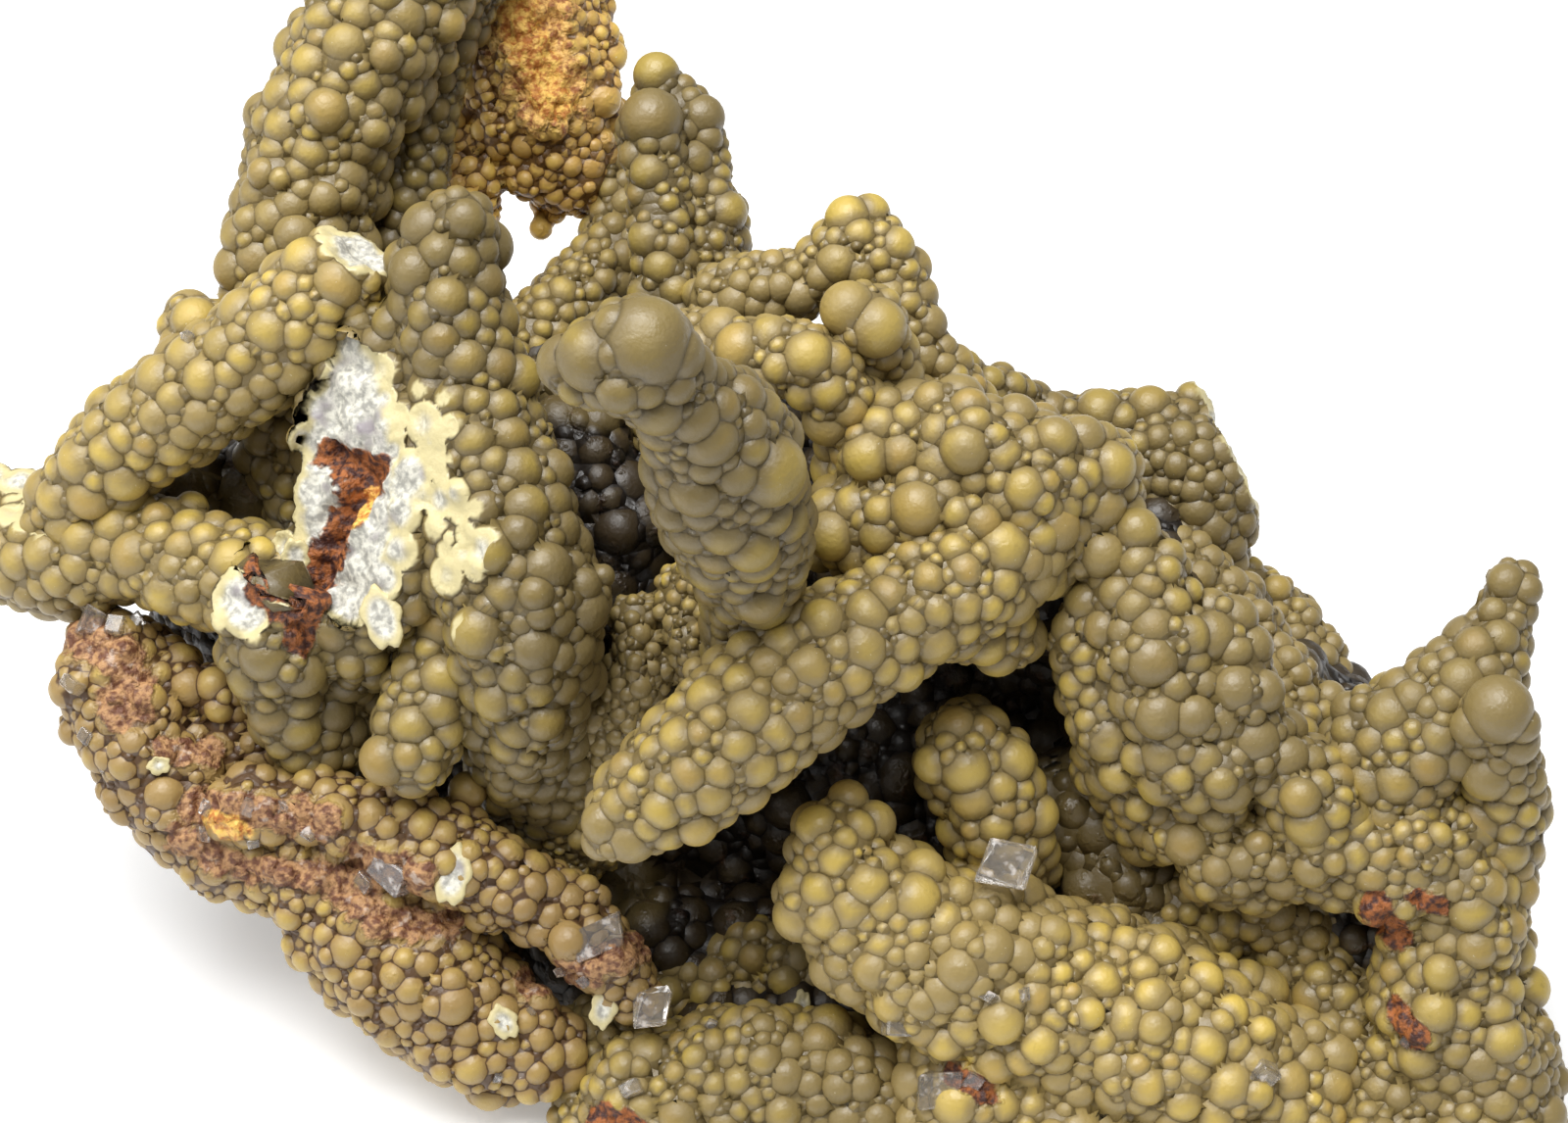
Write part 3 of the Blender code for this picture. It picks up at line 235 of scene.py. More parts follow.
# Knobs placed one by one, seen at (across, up, radius), the smallest last
KNOBS = {
    "matrix": [(-1.2, -15.1, 0.75)],
    "front_crust": [
        (3.25, -12.2, 1.1), (4.55, -13.35, 1.2), (1.75, -13.6, 1.2), (2.65, -15.15, 1.1),
        (5.8, -15.0, 1.1), (7.1, -15.8, 1.2), (8.9, -17.05, 1.0), (11.9, -20.15, 1.2),
        (13.65, -19.0, 1.0), (15.5, -23.05, 0.9), (17.45, -19.6, 1.0), (19.3, -20.0, 1.0),
        (21.45, -21.4, 1.0), (23.6, -21.4, 1.1), (24.5, -21.9, 1.25), (22.75, -23.05, 1.0),
        (18.75, -22.3, 1.1), (20.55, -23.2, 0.9), (21.45, -24.7, 1.2), (18.5, -26.65, 1.1),
        (9.2, -23.7, 1.1), (12.15, -25.25, 1.0), (5.55, -26.75, 1.25), (28.05, -25.25, 1.2),
        (11.5, -17.05, 0.8), (9.2, -18.2, 0.65), (14.05, -21.05, 0.8), (19.65, -25.5, 0.7),
        (6.5, -25.25, 0.75),
    ],
    "right_crust": [
        (22.7, -12.8, 1.0), (21.85, -11.15, 0.95), (20.55, -14.25, 1.3), (26.0, -12.75, 1.25),
        (29.3, -13.65, 1.0), (23.35, -15.25, 0.95), (26.9, -15.65, 1.0), (30.05, -15.95, 1.0),
        (30.2, -17.35, 1.2), (35.05, -17.7, 1.25), (18.9, -18.2, 0.9), (22.75, -18.45, 0.9),
        (34.65, -23.05, 1.0), (36.6, -24.45, 1.3), (33.0, -27.15, 1.5), (30.45, -26.9, 1.1),
        (37.85, -21.8, 1.2), (31.65, -13.9, 0.8), (25.1, -15.55, 0.8), (20.7, -17.95, 0.7),
        (31.2, -20.9, 0.8),
    ],
    "bottom_crust": [(1.75, -24.6, 1.1), (-1.05, -25.35, 1.0), (-2.35, -26.5, 0.9), (-4.9, -27.15, 0.6)],
    "left_crust": [
        (-30.35, -6.35, 1.1), (-26.55, -7.1, 1.0), (-24.6, -7.2, 1.2), (-30.0, -8.85, 0.9),
        (-11.9, -18.05, 0.85), (-16.15, -11.7, 1.0), (-19.3, -12.85, 0.8), (-28.55, -6.85, 0.5),
        (-27.15, -9.25, 0.65), (-21.55, -21.3, 0.7), (-21.45, -23.2, 0.6), (-14.15, -24.6, 0.75),
        (-14.1, -16.25, 0.7), (-10.05, -16.65, 0.7),
    ],
    "broken_pillar": [
        (-18.8, 14.75, 1.4), (-17.6, 15.75, 1.1), (-16.3, 17.45, 1.1), (-22.25, 10.95, 1.2),
        (-20.1, 9.7, 1.35), (-23.6, 10.6, 1.0), (-20.05, 12.1, 1.0), (-15.3, 2.7, 1.1),
        (-13.25, 2.7, 1.3), (-16.7, -0.65, 1.4), (-12.25, -0.4, 1.5), (-19.0, -2.15, 1.2),
        (-15.55, -3.55, 1.5), (-16.0, -7.45, 1.1), (-16.85, -2.3, 0.6), (-9.25, -0.75, 0.65),
    ],
    "rusty_mass": [
        (-8.9, 25.8, 0.9), (-9.3, 23.6, 1.0), (-10.0, 20.2, 0.9), (-12.4, 17, 0.6), (-11.7, 17.8, 0.6),
        (-11.65, 22.2, 0.7),
    ],
    "near_finger": [
        (-7.05, 11.1, 2.5), (-9.75, 10.45, 1.9), (-8.35, 8.8, 1.3), (-5.6, 10.6, 1.6), (-8.5, 11.9, 1.3),
        (-5.55, 9.05, 1.1), (-0.8, 4.7, 2.0), (-4.4, 3.7, 1.5), (-5.55, 2.55, 1.1), (-1.7, 0.9, 1.5),
        (-1.35, -1.8, 1.4),
    ],
    "long_finger": [
        (-8.85, -14.6, 0.6), (-6.2, -12.5, 1.2), (-4.5, -13.35, 1.2), (1.2, -5.45, 1.35),
        (2.0, -3.25, 1.4), (6.45, -3.0, 1.0), (6.1, -5.6, 1.1), (3.5, -5.8, 1.1), (0.5, -7.8, 1.1),
        (9.2, -0.5, 1.1), (11.1, 0.65, 1.5), (10.35, -2.15, 0.9), (-4.5, -5.55, 0.7), (-4.75, -6.45, 0.6),
    ],
    "ridge": [
        (5.3, 8.05, 0.9), (6.05, 5.5, 1.3), (9.25, 5.75, 1.4), (9.45, 7.8, 1.1), (13.8, 6.25, 1.2),
        (15.2, 6.25, 1.25), (12.25, 2.3, 1.0),
    ],
    "right_slope_finger": [
        (18.0, 1.55, 1.25), (20.6, -1.55, 0.8), (21.7, -3.85, 1.5), (25.6, -10.0, 1.2),
        (15.45, -2.15, 1.2), (16.35, -3.45, 1.1), (15.35, -4.7, 0.85), (14.9, -6.2, 0.9),
    ],
    "left_arm": [(-30.05, 12.2, 1.3)],
    "left_lower_arm": [
        (-31.95, 2.15, 0.9), (-30.25, 2.7, 0.9), (-28.15, -0.1, 1.3), (-26.75, 0.4, 0.9),
        (-37.85, 2.95, 1.0), (-35.05, -2.05, 0.7),
    ],
    "ribbed_finger": [(-6.75, 22.55, 1.6), (-6.5, 24.8, 1.2), (-4.2, 22.65, 1.2), (-3.05, 17.8, 1.2)],
    "back_right_branch": [
        (9.2, 9.95, 0.9), (10.5, 9.2, 0.8), (16.1, 7.55, 1.3), (18.65, 7.8, 1.2), (20.8, 8.3, 0.9),
    ],
    "right_horn": [
        (36.85, -1.05, 1.0), (37.85, -1.45, 0.85), (36.2, -2.6, 0.8), (35.3, -4.5, 1.2),
        (30.95, -7.85, 1.4), (32.8, -10.25, 1.2),
    ],
    "top_arch": [(3.3, 17.45, 1.25), (4.35, 17.7, 1.1), (5.6, 16.05, 1.1), (2.75, 15.25, 1.15)],
    "bent_finger": [(-2.2, 10.85, 1.4), (1.2, 10.45, 1.4)],
    "twin_ball_finger": [(3.3, 12.85, 1.5), (4.7, 11.95, 1.6)],
    "grey_finger": [(-20.35, -10.1, 1.35)],
    "right_knob": [
        (36.45, -7.55, 1.75), (35.1, -8.4, 1.1), (37.6, -8.3, 1.0), (35.9, -10.85, 1.35),
        (35.6, -13.1, 1.35), (37.75, -12.8, 0.8),
    ],
    "back_right_crust": [
        (27.5, -4.9, 0.8), (27.8, -6.95, 0.9), (25.1, -1.45, 0.8), (26.25, -2.35, 0.55),
        (24.3, -2.6, 0.7),
    ],
    "inner_knob": [(7.7, -10.3, 1.1), (9.7, -11.95, 1.3), (8.0, -12.3, 0.7)],
    "small_stalk": [(-9.7, -8.1, 0.85), (-7.45, -8.5, 0.6), (-10.7, -10.55, 0.7)],
}

# Flat broken faces: the branch, a place on the face, its outward direction and the length cut off
BREAKS = [
    ("broken_pillar", (-20.0, 3.0, 2.3), (-0.58, -0.02, 1.0), 6.5),
    ("broken_pillar", (-26.6, -1.6, 1.4), (-0.35, 0.25, 1.0), 2.0),
    ("left_arm", (-21.6, 15.9, 0.5), (0.46, 0.80, 0.42), 3.0),
    ("left_lower_arm", (-39.6, 4.3, -8.2), (-0.05, 0.80, 0.60), 2.4),
    ("back_right_branch", (23.2, 4.4, -11.0), (0.88, 0.42, 0.10), 3.0),
]

# Clear and pale crystals on the crust: a place, its three edge lengths and its turn in degrees
CRYSTALS = {
    "rhomb_crystal": ((11.4, -15.4, -0.4), (2.5, 1.2, 2.1), (-38, 8, -12)),
    "square_crystal": ((-6.75, -22.75, -3.3), (1.8, 1.1, 1.7), (-40, 6, 10)),
    "plate_crystal": ((-9.4, -19.2, -2.6), (2.5, 0.9, 1.6), (-48, -20, 14)),
    "edge_crystal": ((-34.0, -10.1, -4.6), (1.7, 1.4, 1.5), (-30, 25, 20)),
    "upper_pale_crystal": ((6.3, -23.2, -0.9), (2.4, 1.3, 2.4), (-50, 12, 6)),
    "lower_pale_crystal": ((8.0, -26.9, -1.4), (2.2, 1.5, 1.9), (-42, -15, -8)),
}

# How large a branch's balls are against the usual
BALL_SCALES = {
    "matrix": 1.15, "left_crust": 0.8, "right_crust": 0.85, "bottom_crust": 0.85, "rusty_mass": 0.6,
    "small_stalk": 0.5, "arch_limb": 0.75, "back_right_crust": 0.75, "top_arch": 0.8,
    "ribbed_finger": 0.8, "back_right_branch": 0.8, "shadow_limb": 0.7,
}

# How light a branch's crust is against the usual: partly its own tone, partly painted light and shade,
# darker where a branch lies in shade (near_finger, broken_pillar, shadow_limb, the matrix) and lighter
# where it lies in full light (front_crust, rusty_mass)
BRANCH_TONES_AND_SHADES = {
    "front_crust": 1.21, "bottom_crust": 0.95, "right_crust": 0.94, "left_crust": 0.92, "ridge": 0.94,
    "left_lower_arm": 1.08, "left_arm": 1.12, "back_left_branch": 0.95, "near_finger": 0.66,
    "broken_pillar": 0.69, "grey_finger": 0.8, "shadow_limb": 0.6, "ribbed_finger": 0.72,
    "right_slope_finger": 0.82, "right_horn": 0.8, "right_knob": 0.85, "back_right_branch": 0.74,
    "rusty_mass": 1.3, "matrix": 0.5,
}

# The rusty channel down the broken face of the pillar, seen across and up
RUST_CHANNEL = [(-23.1, 5.4), (-21.2, 4.7), (-22.7, 1.9), (-24.0, -0.8), (-24.8, -4.0)]
CHANNEL_WIDTH = 0.8
CHANNEL_DEPTH = 1.2
CHANNEL_WANDER = 0.8

# Stains along lines seen across and up: the branch, the line and its half width
RUST_STAINS = [
    ("broken_pillar", RUST_CHANNEL, 0.9),
    ("broken_pillar", [(-26.6, -1.5), (-25.9, -2.4)], 0.7),
    ("left_crust", [(-35.5, -4.0), (-33.4, -5.5), (-33.6, -7.5)], 1.3),
    ("left_crust", [(-31.5, -9.6), (-29.0, -9.8)], 0.7),
    ("left_crust", [(-30.0, -12.5), (-27.0, -12.7), (-23.5, -13.2)], 1.0),
    ("left_crust", [(-31.0, -14.0), (-27.5, -15.8), (-24.0, -16.2)], 0.8),
    ("left_crust", [(-23.5, -16.0), (-20.5, -18.4), (-17.5, -18.6)], 1.0),
    ("left_crust", [(-21.5, -15.2), (-18.8, -16.2)], 1.0),
    ("left_crust", [(-12.9, -21.5), (-10.5, -21.0), (-7.5, -19.6)], 0.9),
    ("right_crust", [(30.0, -17.6), (31.2, -19.1)], 0.8),
    ("right_crust", [(31.2, -22.8), (32.4, -24.4)], 0.6),
    ("right_crust", [(32.2, -17.2), (33.4, -17.6)], 0.5),
    ("front_crust", [(8.6, -26.2), (10.5, -27.2)], 0.6),
    ("bottom_crust", [(-7.5, -29.0), (-9.5, -28.2)], 0.8),
    ("rusty_mass", [(-15.5, 31.0), (-13.0, 28.0), (-12.0, 24.0)], 2.2),
]
ORANGE_STAINS = [
    ("rusty_mass", [(-13.9, 28.6), (-13.0, 26.0), (-11.6, 23.6)], 1.1),
    ("left_crust", [(-28.9, -13.2), (-27.9, -13.6)], 0.7),
    ("broken_pillar", [(-21.9, 2.2), (-21.5, 3.4)], 0.5),
]

# Parts of the hidden matrix that carry the olive crust, painted darker as if in shade
OLIVE_PATCHES = [
    ("matrix", [(14.8, -12.6), (16.2, -15.5), (18.0, -19.0)], 3.0),
    ("matrix", [(-10.5, -14.0), (-7.5, -17.0)], 1.6),
    ("matrix", [(-34.0, 3.5), (-28.0, 2.5), (-24.0, 4.0)], 2.0),
    ("matrix", [(19.0, -8.0), (23.0, -2.0), (27.0, -9.0)], 2.0),
    ("matrix", [(-12.0, 9.0), (-7.0, 8.0)], 1.6),
]

# Rust all over a branch
RUST_EVERYWHERE = {"rusty_mass": 0.2, "left_crust": 0.08, "matrix": 0.2}

# Broken scales of crust: where they are seen, their half width and half height, and their turn
FLAKES = [
    ((-16.9, -16.0), (0.95, 1.55), 0),
    ((-14.3, -23.5), (0.7, 0.95), 20),
    ((-9.2, -22.8), (0.7, 1.1), -10),
    ((-20.5, -2.9), (1.0, 1.6), 25),
    ((-24.9, 0.3), (0.7, 0.9), 0),
    ((0.95, -22.6), (0.45, 0.8), 0),
    ((-31.9, -10.4), (0.6, 0.5), 0),
]

# A scale's rings from its underside to its top, as (share of its width, height), and its outline,
# relief, lean, depth of broken crust, tint and number for the random draws
FLAKE_RINGS = [(0.75, -0.3), (1.0, -0.12), (1.0, 0.08), (0.86, 0.16), (0.6, 0.12), (0.3, 0.1), (0.08, 0.1)]
FLAKE_STEPS = 40
FLAKE_WAVES = [(5, 0.09), (9, 0.05)]
FLAKE_RELIEF = 0.12
FLAKE_LUMP = 0.4
FLAKE_LEAN = 0.6
FLAKE_SLOPE = 1.2
FLAKE_SHELL = 0.15
FLAKE_TINT = 0.5
FLAKE_SEEDS = 100

# Small clear crystals: where they are seen and their size
SMALL_CRYSTALS = [
    (-35.4, -3.2, 1.3), (-34.1, -3.4, 1.0), (-36.3, -6.3, 0.9), (-33.0, -3.0, 0.8), (-35.6, -8.9, 0.7),
    (-20.0, -15.9, 1.7), (-21.4, -16.4, 0.9), (-29.5, -12.6, 0.7), (-29.6, -13.9, 0.8), (-27.3, -12.6, 0.7),
    (-27.1, -14.3, 0.6), (-25.6, -12.6, 0.7), (-24.2, -13.9, 0.6), (-10.2, -21.4, 0.8), (-11.4, -20.9, 0.6),
    (-3.7, -23.7, 0.55), (10.4, -22.2, 0.7), (12.2, -22.1, 0.6), (9.6, -26.5, 0.8), (24.5, -26.1, 1.1),
    (-7.8, -26.9, 1.0), (31.8, -24.6, 0.6), (-14.6, -26.3, 0.6), (-12.9, -23.0, 0.5), (-30.4, 11.4, 0.5),
]

# Shape of every crystal, and how the small ones vary in edge length, lean, turn in degrees and shape
CRYSTAL_SLANT = 0.22
CRYSTAL_JITTER = 0.09
CRYSTAL_WEAR = 0.09
SMALL_EDGES = (0.7, 1.2)
SMALL_LEAN = 0.5
SMALL_TURN = 90
SMALL_SEED = 100
SMALL_SHAPE_SEED = 200

# How a stain fades past its half width, and how a patch fades where the crust turns from the viewpoint
STAIN_EDGE = 1.5
FACING_EDGE = 2.5

# How deep a place may lie in its own branch or in another and still carry a ball
SKIN_SLACK = 0.06
JOIN_SLACK = 0.5

# The search for the nearest balls goes cell by cell, and this far past each
CELL = 3.0
SEARCH = 1.5

# Fitting the skin: its rounds, which points go into a crease, and the least spread of a crease
FIT_STEPS = 3
CREASE_REACH = 0.7
LEAST_SPREAD = 0.04

# Flat faces, as shares of the skin's edge length: what lies on them, and how far in from their rim
NEAR_PLANE = 0.6
RIM_REACH = 0.3

# Relief of a broken face and of rust: its heights, the sizes of its lumps and where it fades
BREAK_RELIEF = 0.5
BREAK_LUMP = 1.3
BREAK_GRAIN = 0.2
BREAK_SPECK = 0.5
BREAK_RIM = 0.5
CHANNEL_EDGE = 1.2
CHANNEL_LUMP = 1.0
CHANNEL_SEED = 3.0
RUST_GRAIN = 0.28
RUST_LUMP = 0.9
RUST_SPECK = 0.45
RUST_SPECK_SHARE = 0.7
RUST_SEED = 5.0
LEAST_RUST = 0.3

# How far the next ball must be for a place to count as a ball's crown, as a share of its radius
CROWN_WIDTH = 0.55

# Colours of the crust, and the factors that make a ball yellower or browner and a speck darker
YELLOW_BALL = (1.1, 1.1, 0.95)
BROWN_BALL = (0.82, 0.76, 0.85)
DARK_SPECK = 0.6
# The olive crust on the matrix, darkened by painted shade
OLIVE_PATCH_IN_SHADE = (0.22, 0.155, 0.05)
DUST = (0.62, 0.58, 0.44)
PALE_RUST = (0.56, 0.43, 0.34)
ORANGES = ((0.46, 0.15, 0.018), (0.90, 0.56, 0.12))
SHELL = (0.60, 0.52, 0.27)
FIBRES = ((0.34, 0.33, 0.29), (0.72, 0.70, 0.60))
FIBRE_SHADE = (0.26, 0.23, 0.24)
CRYSTAL_COLOURS = ((0.97, 0.94, 0.90), (0.90, 0.82, 0.76))
FLOOR_COLOURS = ((0.90, 0.905, 0.91), (0.92, 0.925, 0.93))
FLOOR_ROUGHNESS = 0.7
WHITE = (1, 1, 1, 1)
CRUST_IOR = 1.6
CRUST_RELIEF = 0.05
CRYSTAL_IOR = 1.56
CRYSTAL_RELIEF = 0.03

# Which of a colour mix's sockets take its two colours, and which gives the result
MIX_COLOURS = (6, 7)
MIX_RESULT = 2

# Noises: the size of their lumps in millimetres and their detail
NOISES = {
    "broad": (7.0, 2.0), "speck": (0.5, 4.0), "dust": (0.16, 2.0), "patch": (1.2, 3.0),
    "rust": (0.45, 5.0), "pale_rust": (0.8, 3.0), "glow": (0.8, 4.0), "orange": (0.35, 4.0),
    "fibre": (0.35, 5.0), "fibre_shade": (1.4, 3.0), "rough": (0.9, 3.0), "grain": (0.3, 5.0),
    "flaw": (0.7, 4.0), "crystal_rough": (0.5, 3.0), "crystal_grain": (0.6, 2.0), "floor": (30.0, 2.0),
}

# Where one thing gives way to another: from and to, and what that is stretched to if not 0 to 1
RANGES = {
    "yellow_ball": (0.5, 1.0), "brown_ball": (0.45, 0.0), "broad": (0.42, 0.62), "crown": (0.15, 0.95),
    "crease_shade": (0.15, 0.0), "olive": (0.2, 0.8), "speck": (0.62, 0.78, 0.0, 0.45),
    "dust": (0.72, 0.80, 0.0, 0.7), "patch": (0.25, 0.75, -0.35, 0.35), "rust": (0.38, 0.62),
    "pale_rust": (0.6, 0.72), "rust_edge": (0.42, 0.72), "shell_rust": (0.35, 0.6),
    "glow": (0.3, 0.7, -0.3, 0.3), "glow_edge": (0.35, 0.7), "orange": (0.35, 0.65),
    "fibre": (0.35, 0.65), "fibre_shade": (0.52, 0.72), "shell": (0.3, 0.75), "break": (0.0, 0.12),
    "rough": (0.3, 0.7, 0.36, 0.56), "rust_rough": (0.4, 0.7, 0.0, 0.15),
    "grain": (0.3, 0.7, 1.0, 5.0), "flaw": (0.5, 0.75), "crystal_rough": (0.4, 0.7, 0.03, 0.22),
    "crystal_clear": (0.0, 1.0, 0.92, 0.45),
}

# The studio, its lengths in millimetres
MIDDLE = Vector((0, 0, MIDDLE_HEIGHT * MM))
CAMERA_LENS = 67.5
CAMERA_NEAR = 5
FLOOR_HALF = 600
FLOOR_GLOW = 0.25
WORLD_STRENGTH = 0.25

# Lights: their width and place in millimetres, and their power in watts
LIGHTS = [
    ("top_light", 220, (-40, 5, 275), 1.2),
    ("left_light", 120, (-220, -60, 160), 0.13),
]

# Each slot's colours: crown, rim (the greyer crust toward a crease, darker there as painted shade), painted
# shade in the creases, dark rust, light rust and how much of the rust is pale
SLOT_COLOURS = {
    "olive_crust": ((0.45, 0.325, 0.074), (0.26, 0.19, 0.068), (0.165, 0.118, 0.040),
                    (0.05, 0.010, 0.005), (0.36, 0.11, 0.02), 0.0),
    "rusty_crust": ((0.50, 0.35, 0.09), (0.34, 0.22, 0.075), (0.10, 0.05, 0.018),
                    (0.14, 0.045, 0.016), (0.48, 0.26, 0.11), 0.8),
    "orange_rust": ((0.52, 0.35, 0.08), (0.38, 0.23, 0.06), (0.12, 0.06, 0.015),
                    (0.32, 0.11, 0.025), (0.88, 0.53, 0.15), 0.2),
    # The matrix's own brown, darkened nearly to black as painted shade of the deep hollows it is seen in
    "brown_matrix": ((0.12, 0.08, 0.028), (0.07, 0.045, 0.018), (0.02, 0.012, 0.006),
                     (0.04, 0.014, 0.006), (0.13, 0.055, 0.02), 0.0),
}
BRANCH_SLOTS = {"matrix": "brown_matrix", "left_crust": "rusty_crust", "rusty_mass": "orange_rust"}


def place(across, up, toward):
    """The point, in millimetres, that is seen across and up, and lies toward the viewpoint."""
    sine, cosine = math.sin(VIEW_ELEVATION), math.cos(VIEW_ELEVATION)
    shrink = (VIEW_DISTANCE - toward) / VIEW_DISTANCE
    right = across * shrink
    rise = up * shrink
    back = rise * sine - toward * cosine
    height = MIDDLE_HEIGHT + rise * cosine + toward * sine
    return np.array((right, back, height))


def seen_width(width, toward):
    """The real size of something that is seen this wide at that distance."""
    return width * (VIEW_DISTANCE - toward) / VIEW_DISTANCE


def smooth_run(points):
    """Closely spaced points on a smooth curve through the run's own points."""
    run = np.array(points, dtype=float)
    before = 2 * run[0] - run[1]
    after = 2 * run[-1] - run[-2]
    padded = np.vstack([before, run, after])
    samples = []
    for i in range(1, len(padded) - 2):
        p0, p1, p2, p3 = padded[i - 1:i + 3]
        steps = max(2, int(np.linalg.norm(p2[:3] - p1[:3]) / BEAD_STEP))
        for step in range(steps):
            t = step / steps
            linear = (p2 - p0) * t
            square = (2 * p0 - 5 * p1 + 4 * p2 - p3) * t * t
            cubic = (3 * p1 - 3 * p2 + p3 - p0) * t ** 3
            samples.append(0.5 * (2 * p1 + linear + square + cubic))
    samples.append(run[-1])
    return samples


def branch_beads(runs):
    """A branch's core: a row of (x, y, z, radius) for every bead along its runs."""
    beads = []
    for run in runs:
        for across, up, toward, width in smooth_run(run):
            beads.append((*place(across, up, toward), seen_width(width, toward)))
    return np.array(beads)


def knob_on(beads, across, up, radius):
    """A knob seen at across and up, set into the nearest bead that lies there."""
    eye = place(0, 0, VIEW_DISTANCE)
    aim = place(across, up, 0) - eye
    aim /= np.linalg.norm(aim)
    along = (beads[:, :3] - eye) @ aim
    feet = eye + along[:, None] * aim
    miss = np.linalg.norm(beads[:, :3] - feet, axis=1)
    reach = beads[:, 3] ** 2 - miss ** 2
    met = reach > 0
    if met.any():
        depth = np.where(met, along - np.sqrt(np.maximum(reach, 0)), np.inf)
        real = radius * depth.min() / VIEW_DISTANCE
        return (*(eye + aim * (depth.min() + KNOB_SINK * real)), real)
    nearest = np.argmin(miss - beads[:, 3])
    return (*feet[nearest], radius * along[nearest] / VIEW_DISTANCE)


def skin_points(beads, others, tries, dice):
    """Random points, with their outward directions, on the beads' joint surface."""
    weights = beads[:, 3] ** 2
    count = int(tries * weights.sum())
    chosen = dice.choice(len(beads), size=count, p=weights / weights.sum())
    directions = dice.normal(size=(count, 3))
    directions /= np.linalg.norm(directions, axis=1)[:, None]
    points = beads[chosen, :3] + directions * beads[chosen, 3][:, None]
    for cover, slack in ((beads, SKIN_SLACK), (others, JOIN_SLACK)):
        bare = near_balls(points, cover, 1)[1][:, 0] > -slack
        points, directions = points[bare], directions[bare]
    return points, directions


def grow_knobs(beads, others, knobs, sizes, tries, dice):
    """Adds knobs of these sizes wherever the skin has room for one more."""
    points, directions = skin_points(beads, others, tries, dice)
    radii = dice.uniform(*sizes, size=len(points))
    centres = points - directions * (radii * KNOB_SINK)[:, None]
    table = np.zeros((len(knobs) + len(points), 4))
    count = len(knobs)
    free = np.ones(len(points), dtype=bool)
    for i, knob in enumerate(knobs):
        table[i] = knob
        apart = np.linalg.norm(centres - table[i, :3], axis=1)
        free &= apart >= KNOB_OVERLAP * (radii + table[i, 3])
    for centre, radius in zip(centres[free], radii[free]):
        apart = np.linalg.norm(table[:count, :3] - centre, axis=1)
        if (apart < KNOB_OVERLAP * (table[:count, 3] + radius)).any():
            continue
        table[count] = (*centre, radius)
        count += 1
    return table[:count]


def pack_balls(name, cores):
    """Every ball of a branch: its core beads and the knobs packed over them."""
    beads = cores[name]
    others = np.vstack([cores[other] for other in RUNS if other != name])
    dice = np.random.default_rng(list(RUNS).index(name))
    if name in LUMPS:
        sizes, tries = LUMPS[name]
        beads = np.vstack([beads, grow_knobs(beads, others, [], sizes, tries, dice)])
    knobs = [knob_on(beads, *knob) for knob in KNOBS.get(name, [])]
    scale = BALL_SCALES.get(name, 1.0)
    for sizes, tries in BALL_STAGES:
        scaled = (sizes[0] * scale, sizes[1] * scale)
        knobs = grow_knobs(beads, others, knobs, scaled, tries, dice)
    beads = beads - (0, 0, 0, CORE_SHRINK)
    return np.vstack([beads, knobs])


def new_object(name, data):
    """Links a mesh, lamp or camera into the scene as an object."""
    piece = bpy.data.objects.new(name, data)
    bpy.context.scene.collection.objects.link(piece)
    return piece


def make_mesh(shape, name):
    """Turns a finished shape into a mesh."""
    mesh = bpy.data.meshes.new(name)
    shape.to_mesh(mesh)
    shape.free()
    return mesh


def apply_modifiers(piece):
    """Keeps the modified shape and drops the modifiers."""
    graph = bpy.context.evaluated_depsgraph_get()
    mesh = bpy.data.meshes.new_from_object(piece.evaluated_get(graph))
    piece.modifiers.clear()
    piece.data = mesh


def reskin(piece, size):
    """Replaces the piece's surface by one closed skin with edges of about this size."""
    skin = piece.modifiers.new("skin", "REMESH")
    skin.mode = "VOXEL"
    skin.voxel_size = size * MM
    apply_modifiers(piece)


def unit_ball(subdivisions):
    """The corners and triangles of a ball of radius one."""
    ball = bmesh.new()
    bmesh.ops.create_icosphere(ball, subdivisions=subdivisions, radius=1.0)
    corners = np.array([vert.co[:] for vert in ball.verts])
    triangles = np.array([[vert.index for vert in face.verts] for face in ball.faces])
    ball.free()
    return corners, triangles


def ball_cluster(name, balls, size):
    """Joins the balls into one closed skin."""
    corners, triangles = unit_ball(BALL_DETAIL)
    points = np.vstack([corners * radius + (x, y, z) for x, y, z, radius in balls]) * MM
    faces = np.vstack([triangles + len(corners) * i for i in range(len(balls))])
    mesh = bpy.data.meshes.new(name)
    mesh.vertices.add(len(points))
    mesh.vertices.foreach_set("co", points.ravel())
    mesh.loops.add(faces.size)
    mesh.loops.foreach_set("vertex_index", faces.ravel())
    mesh.polygons.add(len(faces))
    mesh.polygons.foreach_set("loop_start", np.arange(0, faces.size, 3))
    mesh.update(calc_edges=True)
    piece = new_object(name, mesh)
    reskin(piece, size)
    return piece


def level_bottom(piece):
    """Cuts the piece off flat at the surface it rests on."""
    shape = bmesh.new()
    shape.from_mesh(piece.data)
    everything = shape.verts[:] + shape.edges[:] + shape.faces[:]
    up = (0, 0, 1)
    bmesh.ops.bisect_plane(shape, geom=everything, plane_co=(0, 0, 0), plane_no=up, clear_inner=True)
    rim = [edge for edge in shape.edges if edge.is_boundary]
    bmesh.ops.holes_fill(shape, edges=rim, sides=0)
    bmesh.ops.triangulate(shape, faces=shape.faces)
    shape.to_mesh(piece.data)
    shape.free()


def view_direction(across, up, toward):
    """The real direction of something that points so from the viewpoint."""
    direction = place(across, up, toward) - place(0, 0, 0)
    return direction / np.linalg.norm(direction)


def laid_down(where, facing):
    """The matrix that lays something down at a place, facing a direction."""
    tilt = Vector(facing).to_track_quat("Z", "Y").to_matrix().to_4x4()
    return Matrix.Translation(Vector(where) * MM) @ tilt


